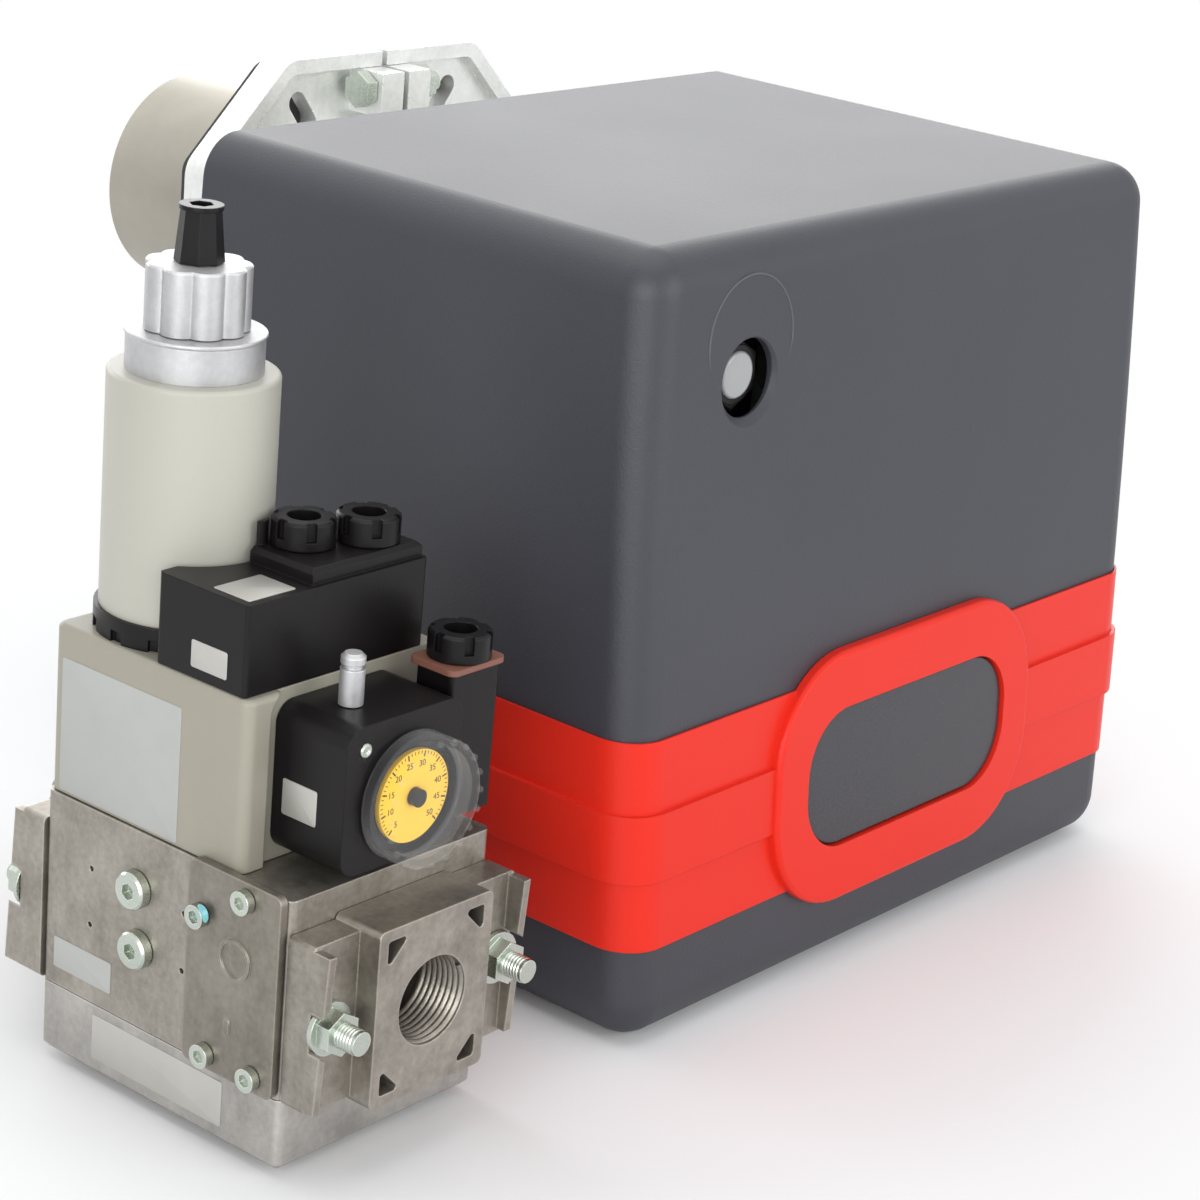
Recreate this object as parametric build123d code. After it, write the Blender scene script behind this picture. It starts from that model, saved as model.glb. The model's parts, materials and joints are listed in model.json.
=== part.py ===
from build123d import *
import math
import os

# Forced-draught gas burner with its gas train, in millimetres.
# Origin: blast-tube axis at the boiler face of the mounting flange.
# +Y runs into the boiler, -Y is the operator's side, +Z is up, the gas train is on -X.

# ---- named clearances ----
SEAT = 0.3            # gap between pieces that only rest side by side
RUN = 0.06            # radial clearance of a running fit
HOLE_PLAY = 0.5       # radial clearance of a screw, pin or button in its hole

# ---- cover ----
COVER_WIDTH = 320.0
COVER_HEIGHT = 280.0
COVER_DEPTH = 212.0   # at the top edge
COVER_WALL = 3.5
COVER_LEAN = 20.0     # how much further forward the front stands at its foot
COVER_BARREL = 4.0    # how much each side swells at mid height
COVER_EDGE_R = 16.0
COVER_TOP_Z = 67.0
COVER_BACK_Y = -76.0
COVER_FRONT_Y = COVER_BACK_Y - COVER_DEPTH
COVER_BOTTOM_Z = COVER_TOP_Z - COVER_HEIGHT
COVER_MID_Z = COVER_TOP_Z - COVER_HEIGHT / 2
RESET_X = -104.0
RESET_Z = 20.0
RESET_HOLE_R = 14.0
RESET_RIM = 1.6       # chamfer round the button's hole
RESET_RECESS = 5.0    # button face behind the hood's front
PIPE_SLOT_PLAY = 4.0

# ---- red band and badge ----
BAND_BOTTOM_Z = -176.0
BAND_TOP_Z = -99.0
BAND_STEP = 1.2       # stand-off of the two thin strips
BAND_RAISE = 3.0      # stand-off of the middle strip
BAND_MID_HEIGHT = 25.0
RING_WIDTH = 164.0
RING_HEIGHT = 98.0
RING_CORNER_R = 40.0
RING_RAISE = 5.0
BADGE_WIDTH = 128.0
BADGE_HEIGHT = 54.0
BADGE_CORNER_R = 23.0
BADGE_DEPTH = 3.4

# ---- blast tube and mounting flange ----
TUBE_R = 45.0
TUBE_WALL = 1.5
TUBE_TIP_Y = 100.0
TUBE_SEAT = 0.5       # how far the sliding seat under the flange stands proud of the tube
TUBE_SEAT_END = 0.5   # where that seat stops beyond the gasket
TUBE_LIP = 6.0
TUBE_BOSS = 8.0       # how far the gas boss stands below the tube
FLANGE_THICKNESS = 9.0
FLANGE_WIDTH = 190.0
FLANGE_HEIGHT = 150.0
FLANGE_TOP_WIDTH = 108.0
FLANGE_SIDE_HEIGHT = 70.0
FLANGE_RIM = 6.0
FLANGE_RIM_HEIGHT = 5.0
FLANGE_SLOT_R = 66.0
FLANGE_SLOT_ANGLE = 52.0
FLANGE_SLOT_LENGTH = 20.0
FLANGE_SLOT_WIDTH = 9.0
FLANGE_HUB_R = TUBE_R + 8.0
FLANGE_HUB_LENGTH = 18.0
FLANGE_CLEARANCE = 0.25
GASKET_THICKNESS = 6.0
CLAMP_BOLT_R = 4.0
CLAMP_EAR_HALF = 14.0
CLAMP_SPLIT = 3.0
SPOT_R = 8.4          # spot face round the clamp bolt's head and nut

# ---- back plate and fan scroll ----
PLATE_THICKNESS = 5.0
PLATE_Y = COVER_BACK_Y - 1.0
FAN_R = round(0.302 * COVER_DEPTH, 1)
FAN_Y = COVER_BACK_Y - round(0.472 * COVER_DEPTH, 1)
FAN_Z = -92.0
FAN_WIDTH = 50.0
FAN_BLADES = 28
FAN_BLADE_T = 1.2
FAN_BLADE_DEPTH = 11.0
SCROLL_GAP = 7.0      # wheel to scroll at the cut-off
SCROLL_GROWTH = 52.0  # radius gained over one turn
SCROLL_WIDTH = 66.0
SCROLL_WALL = 2.5
INLET_R = 50.0
DUCT_R = TUBE_R - TUBE_WALL

# ---- motor ----
MOTOR_R = 43.0
MOTOR_LENGTH = 74.0
MOTOR_FINS = 24
SHAFT_R = 5.0
CAPACITOR_R = 16.0
CAPACITOR_LENGTH = 62.0

# ---- ignition transformer and air pressure switch ----
TRANSFORMER_WIDTH = 52.0
TRANSFORMER_LENGTH = 74.0
TRANSFORMER_HEIGHT = 74.0
TRANSFORMER_TOP_Z = COVER_TOP_Z - 23.0
AIR_SWITCH_R = 26.0
AIR_SWITCH_DEPTH = 26.0

# ---- air box and damper ----
AIRBOX_DEPTH = 62.0
AIRBOX_WALL = 2.5
AIRBOX_MARGIN = 6.0   # how far it reaches past the fan inlet
DAMPER_ROD_R = 3.5
DAMPER_T = 2.0

# ---- control box and reset button ----
CONTROL_WIDTH = 62.0
CONTROL_HEIGHT = 76.0
CONTROL_DEPTH = 46.0
BUTTON_R = 8.5
BUTTON_TRAVEL = 2.5
BEZEL_AF = 23.0
BEZEL_THICKNESS = 5.0
CONTROL_SET_BACK = 14.0  # control box face behind the hood's front

# ---- gas valve ----
VALVE_WIDTH = 91.0
VALVE_LENGTH = 114.0
VALVE_X = -261.5
VALVE_FRONT_Y = COVER_FRONT_Y
VALVE_BOTTOM_Z = -210.0
VALVE_TOP_Z = -58.0
SEAM_Z = -185.0
METAL_TOP_Z = -116.0
CREAM_INSET = 24.0
SWITCH_POCKET = 3.0   # how far the pressure switch sits in the cream housing
POCKET_MARGIN = 5.0
GAS_Z = -156.0
GAS_BORE_R = 15.2
VALVE_EDGE_R = 3.0
FLANGE_BLOCK_WIDTH = 52.0
FLANGE_BLOCK_HEIGHT = 62.0
FLANGE_BLOCK_DEPTH = 20.0
EAR_THICKNESS = 11.0
EAR_HEIGHT = 58.0
EAR_FIN_WIDTH = 3.0
EAR_FIN_REACH = 7.0   # how far the fin at each ear's edge stands forward
STUD_SPREAD = 38.5
STUD_R = 4.0
NUT_AF = 13.0
NUT_T = 7.0
NUT_FLANGE_R = 9.0
SIDE_PLATE_T = 3.0
SIDE_PLATE_LENGTH = 42.0
PLUG_R = 6.5
PLUG_PLACES = ((69.0, 20.0), (67.0, -0.5))  # behind the valve's front, above its gas axis
PIPE_R = 16.85
PIPE_COLLAR = 2.5     # wall of the tube's gas boss, short enough to clear the flange's hub slid back 3 mm
PIPE_WALL = 3.2
ELBOW_R = 22.0
PIPE_INNER_X = -58.0
PIPE_RISER_Y = -50.0

# ---- solenoid ----
SOLENOID_X = VALVE_X - 13.5
SOLENOID_Y = VALVE_FRONT_Y + 87.0
CAN_R = 27.5
CAN_HEIGHT = 78.0
COLLAR_R = 29.0
COLLAR_HEIGHT = 8.0
CAN_RING_R = 22.0
CAN_RING_HEIGHT = 13.0
KNOB_R = 17.0
KNOB_HEIGHT = 21.0
KNOB_LOBES = 9
KNOB_LOBE_R = 6.2
KNOB_POST_R = 6.0
CAP_R = 8.0
CAP_TOP_R = 7.0
CAP_HEIGHT = 18.0

# ---- connector box, pressure switch ----
BOX_LENGTH = 79.0
BOX_DEPTH = 40.0
BOX_HEIGHT = 30.0
BOX_DECK = 50.0       # length of the raised deck under the glands
BOX_STEP = 5.0
GLAND_R = 10.5
GLAND_HEIGHT = 9.0
GLAND_FLOOR = 2.0
GLAND_NOTCHES = 6
CABLE_R = 5.5
SWITCH_WIDTH = 52.0
SWITCH_HEIGHT = 50.0
SWITCH_DEPTH = 28.0
DIAL_R = 21.5
DIAL_DEPTH = 11.0
DIN_HEIGHT = 50.0
DIN_DEPTH = 16.0
NIPPLE_R = 4.0
NIPPLE_LENGTH = 17.0
NIPPLE_WAIST = 12.0   # height of the groove below its tip

PARTS = {}


def box(x0, x1, y0, y1, z0, z1):
    """Block between two corners."""
    size = (x1 - x0, y1 - y0, z1 - z0)
    return Pos((x0 + x1) / 2, (y0 + y1) / 2, (z0 + z1) / 2) * Box(*size)


def rod(radius, length, start, axis):
    """Cylinder from a start point along an axis."""
    return Plane(origin=start, z_dir=axis) * extrude(Circle(radius), length)


def ring(outer, inner, length, start, axis):
    """Straight tube from a start point along an axis."""
    return Plane(origin=start, z_dir=axis) * extrude(Circle(outer) - Circle(inner), length)


def hexagon(across_flats, length, start, axis):
    """Hexagon bar from a start point along an axis."""
    profile = RegularPolygon(across_flats / 2, 6, major_radius=False)
    return Plane(origin=start, z_dir=axis) * extrude(profile, length)


def save(name, *shapes):
    """Keep the solids of one sub-part under its node name."""
    PARTS[name] = Compound([solid for shape in shapes for solid in shape.solids()])


# ---------------------------------------------------------------- cover
def hood_form(inset, back=COVER_BACK_Y):
    """Solid outline of the hood, drawn in by an inset on every face but the back."""
    half = COVER_WIDTH / 2 - inset
    top = COVER_TOP_Z - inset
    foot = COVER_BOTTOM_Z + inset
    edge = COVER_EDGE_R - inset
    pinch = COVER_BARREL
    front_view = make_face(
        ThreePointArc((-half + pinch, foot), (-half, COVER_MID_Z), (-half + pinch, top))
        + Line((-half + pinch, top), (half - pinch, top))
        + ThreePointArc((half - pinch, top), (half, COVER_MID_Z), (half - pinch, foot))
        + Line((half - pinch, foot), (-half + pinch, foot)))
    front_view = fillet(front_view.vertices(), edge)
    side = extrude(Plane.XZ * front_view, -2 * COVER_FRONT_Y, both=True)
    slope = COVER_LEAN / COVER_HEIGHT
    y_top = COVER_FRONT_Y + inset
    y_foot = y_top - COVER_LEAN
    side_view = make_face(Polyline(
        (back, foot - 30), (back, top + 30), (y_top + slope * 30, top + 30),
        (y_foot - slope * 30, foot - 30), close=True))
    lean = extrude(Plane.YZ * side_view, COVER_WIDTH, both=True)
    form = side & lean
    nose = form.faces().sort_by(Axis.Y)[0]
    return fillet(nose.edges(), edge - 1)


def front_y(z):
    """Depth of the hood's leaning front face at a height."""
    return COVER_FRONT_Y - COVER_LEAN * (COVER_TOP_Z - z) / COVER_HEIGHT


def pipe_run_y():
    """Depth of the gas pipe's straight run into the cover."""
    return VALVE_FRONT_Y + VALVE_LENGTH + FLANGE_BLOCK_DEPTH + SEAT + ELBOW_R


def pipe_slot():
    """Slot in the cover's left side, open to its back edge, that clears the gas pipe."""
    side_x = -COVER_WIDTH / 2
    slot_r = PIPE_R + PIPE_SLOT_PLAY
    slot = rod(slot_r, 60, (side_x - 20, pipe_run_y(), GAS_Z), (1, 0, 0))
    return slot + box(side_x - 20, side_x + 40, pipe_run_y(), COVER_BACK_Y + 1,
                      GAS_Z - slot_r, GAS_Z + slot_r)


def air_box_plan(inset):
    """Footprint of the air box, drawn in by an inset: x0, x1, y0, y1."""
    x0 = SCROLL_WIDTH / 2 + SEAT
    half = INLET_R + AIRBOX_MARGIN
    return x0 + inset, x0 + AIRBOX_DEPTH - inset, FAN_Y - half + inset, FAN_Y + half - inset


def cover_hood():
    hood = hood_form(0) - hood_form(COVER_WALL, COVER_BACK_Y + 10)
    face_y = front_y(RESET_Z)
    hood -= rod(RESET_HOLE_R, 40, (RESET_X, face_y - 20, RESET_Z), (0, 1, 0))
    rim = Plane(origin=(RESET_X, face_y + RESET_RIM, RESET_Z), z_dir=(0, -1, 0))
    hood -= rim * extrude(Circle(RESET_HOLE_R), 2 * RESET_RIM, taper=-45)
    hood -= pipe_slot()
    x0, x1, y0, y1 = air_box_plan(AIRBOX_WALL)
    hood -= box(x0, x1, y0, y1, COVER_BOTTOM_Z - 5, COVER_BOTTOM_Z + 10)
    save("cover_hood", hood)


def band_strip(z0, z1, raise_by):
    """One strip of the band, wrapped round the front and both sides of the hood."""
    shell = hood_form(-raise_by) - hood_form(-SEAT, COVER_BACK_Y + 10)
    return shell & box(-300, 300, -400, COVER_BACK_Y, z0, z1)


def ring_outline(width, height, corner):
    """Rounded outline of the badge ring, drawn on the leaning front face."""
    lean_deg = math.degrees(math.atan2(COVER_LEAN, COVER_HEIGHT))
    mid_z = (BAND_TOP_Z + BAND_BOTTOM_Z) / 2
    plane = Plane(origin=(0, front_y(mid_z), mid_z), x_dir=(1, 0, 0),
                  z_dir=(0, -math.cos(math.radians(lean_deg)), math.sin(math.radians(lean_deg))))
    return plane, RectangleRounded(width, height, corner)


def red_band():
    mid_z = (BAND_TOP_Z + BAND_BOTTOM_Z) / 2
    half = BAND_MID_HEIGHT / 2
    band = band_strip(BAND_BOTTOM_Z, BAND_TOP_Z, BAND_STEP)
    band += band_strip(mid_z - half, mid_z + half, BAND_RAISE)
    plane, outline = ring_outline(RING_WIDTH, RING_HEIGHT, RING_CORNER_R)
    pad = plane * (Pos(0, 0, SEAT) * extrude(outline, RING_RAISE - SEAT))
    pad = fillet(pad.edges().filter_by(lambda e: plane.to_local_coords(e.center()).Z
                                       > RING_RAISE - 0.5), 2.0)
    plane, window = ring_outline(BADGE_WIDTH, BADGE_HEIGHT, BADGE_CORNER_R)
    band = (band + pad) - plane * extrude(window, RING_RAISE + 5) - pipe_slot()
    save("red_band", band)
    plane, plate = ring_outline(BADGE_WIDTH - 1, BADGE_HEIGHT - 1, BADGE_CORNER_R - 0.5)
    badge = plane * (Pos(0, 0, SEAT) * extrude(plate, BADGE_DEPTH - SEAT))
    badge = fillet(badge.edges().filter_by(lambda e: plane.to_local_coords(e.center()).Z
                                           > BADGE_DEPTH - 0.5), 0.8)
    save("badge_plate", badge)


# ---------------------------------------------------------------- head and flange
def blast_tube():
    tube_start = PLATE_Y + SEAT
    tube = ring(TUBE_R, TUBE_R - TUBE_WALL, TUBE_TIP_Y - tube_start, (0, tube_start, 0), (0, 1, 0))
    lip = ring(TUBE_R - TUBE_WALL, TUBE_R - TUBE_WALL - TUBE_LIP, 2, (0, TUBE_TIP_Y - 2, 0), (0, 1, 0))
    foot = ring(TUBE_R + 10, TUBE_R - TUBE_WALL, 4, (0, tube_start, 0), (0, 1, 0))
    seat = ring(TUBE_R + TUBE_SEAT, TUBE_R - TUBE_WALL, GASKET_THICKNESS + TUBE_SEAT_END - tube_start,
                (0, tube_start, 0), (0, 1, 0))
    tube = tube + lip + foot + seat
    tube = fillet(tube.edges().filter_by(GeomType.CIRCLE).sort_by(Axis.Y)[-1], 0.6)
    boss_z = -TUBE_R - TUBE_BOSS
    collar = rod(PIPE_R + PIPE_COLLAR, TUBE_BOSS + 12, (0, PIPE_RISER_Y, boss_z), (0, 0, 1))
    tube = tube + (collar - rod(TUBE_R - 0.5, 60, (0, PIPE_RISER_Y - 30, 0), (0, 1, 0)))
    tube -= rod(GAS_BORE_R, TUBE_BOSS + 14, (0, PIPE_RISER_Y, boss_z - 1), (0, 0, 1))
    save("blast_tube", tube)


def mounting_flange():
    half_w = FLANGE_WIDTH / 2
    half_h = FLANGE_HEIGHT / 2
    top = FLANGE_TOP_WIDTH / 2
    side = FLANGE_SIDE_HEIGHT / 2
    corners = [(top, half_h), (half_w, side), (half_w, -side), (top, -half_h),
               (-top, -half_h), (-half_w, -side), (-half_w, side), (-top, half_h)]
    outline = make_face(Polyline(*corners, close=True))
    outline = fillet(outline.vertices(), 12)
    plate = extrude(Plane.XZ * outline, FLANGE_THICKNESS)
    inner = offset(outline, -FLANGE_RIM)
    rim = extrude(Plane.XZ * (outline - inner), FLANGE_THICKNESS + FLANGE_RIM_HEIGHT)
    hub = rod(FLANGE_HUB_R, FLANGE_THICKNESS + FLANGE_HUB_LENGTH, (0, 0, 0), (0, -1, 0))
    bolt_y = -FLANGE_THICKNESS - FLANGE_HUB_LENGTH / 2
    bolt_z = FLANGE_HUB_R + SPOT_R
    ear = box(-CLAMP_EAR_HALF, CLAMP_EAR_HALF, -FLANGE_THICKNESS - FLANGE_HUB_LENGTH, 0,
              TUBE_R + 4, bolt_z + SPOT_R - 1)
    flange = plate + rim + hub + ear
    bore_r = TUBE_R + TUBE_SEAT + FLANGE_CLEARANCE
    flange -= rod(bore_r, 60, (0, -50, 0), (0, 1, 0))
    flange -= box(-CLAMP_SPLIT / 2, CLAMP_SPLIT / 2, -60, -FLANGE_THICKNESS, 0, FLANGE_HEIGHT)
    flange -= rod(CLAMP_BOLT_R + HOLE_PLAY, 60, (-30, bolt_y, bolt_z), (1, 0, 0))
    for sx in (-1, 1):
        flange -= rod(SPOT_R, NUT_T + 3, (sx * CLAMP_EAR_HALF, bolt_y, bolt_z), (sx, 0, 0))
    for sx in (-1, 1):
        for sz in (-1, 1):
            turn = FLANGE_SLOT_ANGLE
            slot = extrude(SlotOverall(FLANGE_SLOT_LENGTH, FLANGE_SLOT_WIDTH), 60, both=True)
            x = sx * FLANGE_SLOT_R * math.cos(math.radians(turn))
            z = sz * FLANGE_SLOT_R * math.sin(math.radians(turn))
            plane = Plane(origin=(x, 0, z), x_dir=(x, 0, z), z_dir=(0, 1, 0))
            flange -= plane * slot
    save("mounting_flange", flange)
    head_x = -CLAMP_EAR_HALF - SEAT
    bolt = rod(CLAMP_BOLT_R, 40, (head_x, bolt_y, bolt_z), (1, 0, 0))
    bolt += hexagon(NUT_AF, 5.5, (head_x, bolt_y, bolt_z), (-1, 0, 0))
    bolt += hexagon(NUT_AF, 6.5, (CLAMP_EAR_HALF + SEAT, bolt_y, bolt_z), (1, 0, 0))
    save("clamp_bolt", bolt)
    seal = offset(outline, -4) - Circle(bore_r + 1)
    seal = extrude(Plane.XZ * seal, -GASKET_THICKNESS)
    for sx in (-1, 1):
        for sz in (-1, 1):
            x = sx * FLANGE_SLOT_R * math.cos(math.radians(FLANGE_SLOT_ANGLE))
            z = sz * FLANGE_SLOT_R * math.sin(math.radians(FLANGE_SLOT_ANGLE))
            seal -= rod(FLANGE_SLOT_WIDTH / 2 + 1, 40, (x, -20, z), (0, 1, 0))
    save("flange_gasket", seal)


def gas_head():
    """Nozzle, flame disc, electrodes and the pipe that feeds them inside the tube."""
    pipe_r = 11.0
    start = PIPE_RISER_Y
    nozzle_y = TUBE_TIP_Y - 28
    feed = rod(pipe_r, nozzle_y - start, (0, start, 0), (0, 1, 0))
    inlet = rod(pipe_r, TUBE_R + 4, (0, start, 0), (0, 0, -1))
    inlet += rod(GAS_BORE_R - SEAT, 8, (0, start, -TUBE_R + 2), (0, 0, -1))
    cone = Plane(origin=(0, nozzle_y, 0), z_dir=(0, 1, 0)) * extrude(Circle(pipe_r), 14, taper=-25)
    head = feed + inlet + Sphere(pipe_r).moved(Location((0, start, 0))) + cone
    head -= rod(pipe_r - 2, nozzle_y + 14 - start, (0, start, 0), (0, 1, 0))
    head -= rod(pipe_r - 2, TUBE_R + 10, (0, start, 0), (0, 0, -1))
    cap = rod(pipe_r + 6.4, 2, (0, nozzle_y + 14, 0), (0, 1, 0))
    for k in range(8):
        a = math.radians(45 * k)
        cap -= rod(1.6, 10, (12.5 * math.cos(a), nozzle_y + 10, 12.5 * math.sin(a)), (0, 1, 0))
    save("gas_nozzle", head + cap)
    disc_y = nozzle_y - 4
    disc = ring(TUBE_R - TUBE_WALL - 4, pipe_r + SEAT, 1.5, (0, disc_y, 0), (0, 1, 0))
    collar = ring(pipe_r + 2.5, pipe_r + SEAT, 10, (0, disc_y - 8.5, 0), (0, 1, 0))
    for k in range(12):
        slit = Rot(0, 30 * k, 0) * box(17, 34, disc_y - 5, disc_y + 5, -1.3, 1.3)
        disc -= slit
    for angle in (20, 160):
        a = math.radians(angle)
        disc -= rod(4.5, 10, (25 * math.cos(a), disc_y - 4, 25 * math.sin(a)), (0, 1, 0))
    save("flame_disc", disc + collar)
    for name, angle in (("ignition_electrode", 20), ("ionisation_electrode", 160)):
        a = math.radians(angle)
        x = 25 * math.cos(a)
        z = 25 * math.sin(a)
        ceramic = rod(4.2, 70, (x, disc_y - 45, z), (0, 1, 0))
        wire = rod(1.2, 74, (x, disc_y - 55, z), (0, 1, 0))
        save(name, ceramic + wire)


# ---------------------------------------------------------------- plate, scroll, fan
def back_plate():
    plate = hood_form(COVER_WALL + SEAT, PLATE_Y)
    plate &= box(-300, 300, PLATE_Y - PLATE_THICKNESS, PLATE_Y, -400, 400)
    plate -= rod(DUCT_R, 40, (0, PLATE_Y - 20, 0), (0, 1, 0))
    plate -= rod(PIPE_R + 3, 40, (PIPE_INNER_X, PLATE_Y - 20, GAS_Z), (0, 1, 0))
    save("back_plate", plate)


def scroll_outline(extra):
    """Volute outline in the YZ plane, opening into the duct at the back plate."""
    base = FAN_R + SCROLL_GAP + extra
    points = []
    for k in range(13):
        angle = math.radians(20 - k * 22.5)
        radius = base + SCROLL_GROWTH * k / 16
        points.append((FAN_Y + radius * math.cos(angle), FAN_Z + radius * math.sin(angle)))
    end_y = PLATE_Y - PLATE_THICKNESS
    spiral = Spline(*points)
    top = points[-1]
    lift = DUCT_R + extra
    drop = -DUCT_R - extra
    loop = spiral + Line(top, (end_y - 34, lift)) + Line((end_y - 34, lift), (end_y, lift))
    loop += Line((end_y, lift), (end_y, drop)) + Line((end_y, drop), points[0])
    return make_face(loop)


def fan_housing():
    half = SCROLL_WIDTH / 2
    inner_half = half - SCROLL_WALL
    outer = extrude(Plane.YZ * scroll_outline(SCROLL_WALL), half, both=True)
    cavity = extrude(Plane.YZ * scroll_outline(0), inner_half, both=True)
    housing = outer - cavity
    housing -= rod(INLET_R, 40, (inner_half - 5, FAN_Y, FAN_Z), (1, 0, 0))
    housing -= rod(SHAFT_R + HOLE_PLAY, 40, (-half - 5, FAN_Y, FAN_Z), (1, 0, 0))
    housing -= box(-inner_half, inner_half, PLATE_Y - PLATE_THICKNESS - 4, PLATE_Y - 2,
                   -DUCT_R + 3, DUCT_R - 3)
    save("fan_housing", housing)


def fan_wheel():
    """Forward-curved centrifugal wheel on the motor shaft."""
    x0 = -SCROLL_WIDTH / 2 + SCROLL_WALL + 4
    x1 = x0 + FAN_WIDTH
    inner_r = FAN_R - FAN_BLADE_DEPTH
    back = rod(FAN_R, 1.5, (x0, FAN_Y, FAN_Z), (1, 0, 0))
    front = ring(FAN_R, inner_r, 1.5, (x1 - 1.5, FAN_Y, FAN_Z), (1, 0, 0))
    hub = rod(14, 20, (x0, FAN_Y, FAN_Z), (1, 0, 0))
    arc_r = FAN_BLADE_DEPTH
    mid = (FAN_R + inner_r) / 2 - 0.5
    blade_face = Pos(mid, 0) * (Circle(arc_r / 2 + 1) - Circle(arc_r / 2 + 1 - FAN_BLADE_T))
    blade_face &= Pos(mid, 6) * Rectangle(arc_r - 1, 12)
    blade = extrude(blade_face, FAN_WIDTH)
    axis_plane = Plane(origin=(x0, FAN_Y, FAN_Z), x_dir=(0, 1, 0), z_dir=(1, 0, 0))
    wheel = back + front + hub
    wheel += [axis_plane * (Rot(0, 0, 360 / FAN_BLADES * k) * blade) for k in range(FAN_BLADES)]
    wheel -= rod(SHAFT_R, 60, (x0 - 5, FAN_Y, FAN_Z), (1, 0, 0))
    save("fan_wheel", wheel)
    motor_end = -SCROLL_WIDTH / 2 - MOTOR_LENGTH + 6
    shaft = rod(SHAFT_R, x0 + 26 - motor_end, (motor_end, FAN_Y, FAN_Z), (1, 0, 0))
    save("motor_shaft", shaft)


def motor():
    face_x = -SCROLL_WIDTH / 2
    body = rod(MOTOR_R - 2, MOTOR_LENGTH, (face_x, FAN_Y, FAN_Z), (-1, 0, 0))
    fin = Pos(MOTOR_R - 2, 0) * Rectangle(5, 1.8)
    fins = extrude(Sketch() + [Rot(0, 0, 360 / MOTOR_FINS * k) * fin for k in range(MOTOR_FINS)],
                   MOTOR_LENGTH - 24)
    plane = Plane(origin=(face_x - 12, FAN_Y, FAN_Z), x_dir=(0, 1, 0), z_dir=(-1, 0, 0))
    body += plane * fins
    body = body + ring(MOTOR_R + 1, MOTOR_R - 4, 8, (face_x, FAN_Y, FAN_Z), (-1, 0, 0))
    body -= rod(SHAFT_R + RUN, MOTOR_LENGTH, (face_x + 5, FAN_Y, FAN_Z), (-1, 0, 0))
    save("fan_motor", body)
    cap_z = FAN_Z + MOTOR_R + CAPACITOR_R + SEAT
    can = rod(CAPACITOR_R, CAPACITOR_LENGTH, (face_x - SEAT, FAN_Y - 10, cap_z + 2), (-1, 0, 0))
    save("motor_capacitor", can)


# ---------------------------------------------------------------- air box
def air_box():
    x0, x1, y0, y1 = air_box_plan(0)
    half = INLET_R + AIRBOX_MARGIN
    z0 = COVER_BOTTOM_Z + COVER_WALL + 2
    z1 = FAN_Z + half
    outer = box(x0, x1, FAN_Y - half, FAN_Y + half, z0, z1)
    outer = fillet(outer.edges().filter_by(Axis.X).group_by(Axis.Z)[-1], 20)
    inner = box(x0 + AIRBOX_WALL, x1 - AIRBOX_WALL, FAN_Y - half + AIRBOX_WALL,
                FAN_Y + half - AIRBOX_WALL, z0 - 1, z1 - AIRBOX_WALL)
    inner = fillet(inner.edges().filter_by(Axis.X).group_by(Axis.Z)[-1], 18)
    case = outer - inner
    case -= rod(INLET_R, 10, (x0 - 1, FAN_Y, FAN_Z), (1, 0, 0))
    rod_x = (x0 + x1) / 2
    rod_z = z0 + 22
    case -= rod(DAMPER_ROD_R + RUN, 200, (rod_x, FAN_Y - 100, rod_z), (0, 1, 0))
    save("air_box", case)
    reach = half - AIRBOX_WALL - 1
    blade_half = (AIRBOX_DEPTH / 2) - AIRBOX_WALL - 1
    blade = box(rod_x - blade_half, rod_x + blade_half, FAN_Y - reach, FAN_Y + reach,
                rod_z - DAMPER_T / 2, rod_z + DAMPER_T / 2)
    spindle = rod(DAMPER_ROD_R, 2 * half + 16, (rod_x, FAN_Y - half - 12, rod_z), (0, 1, 0))
    lever = box(rod_x - 5, rod_x + 5, FAN_Y - half - 10, FAN_Y - half - 7, rod_z - 5, rod_z + 26)
    lever = fillet(lever.edges().filter_by(Axis.Y), 4.5)
    save("air_damper", blade + spindle)
    save("damper_lever", lever - rod(DAMPER_ROD_R, 40, (rod_x, FAN_Y - half - 30, rod_z), (0, 1, 0)))


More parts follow.
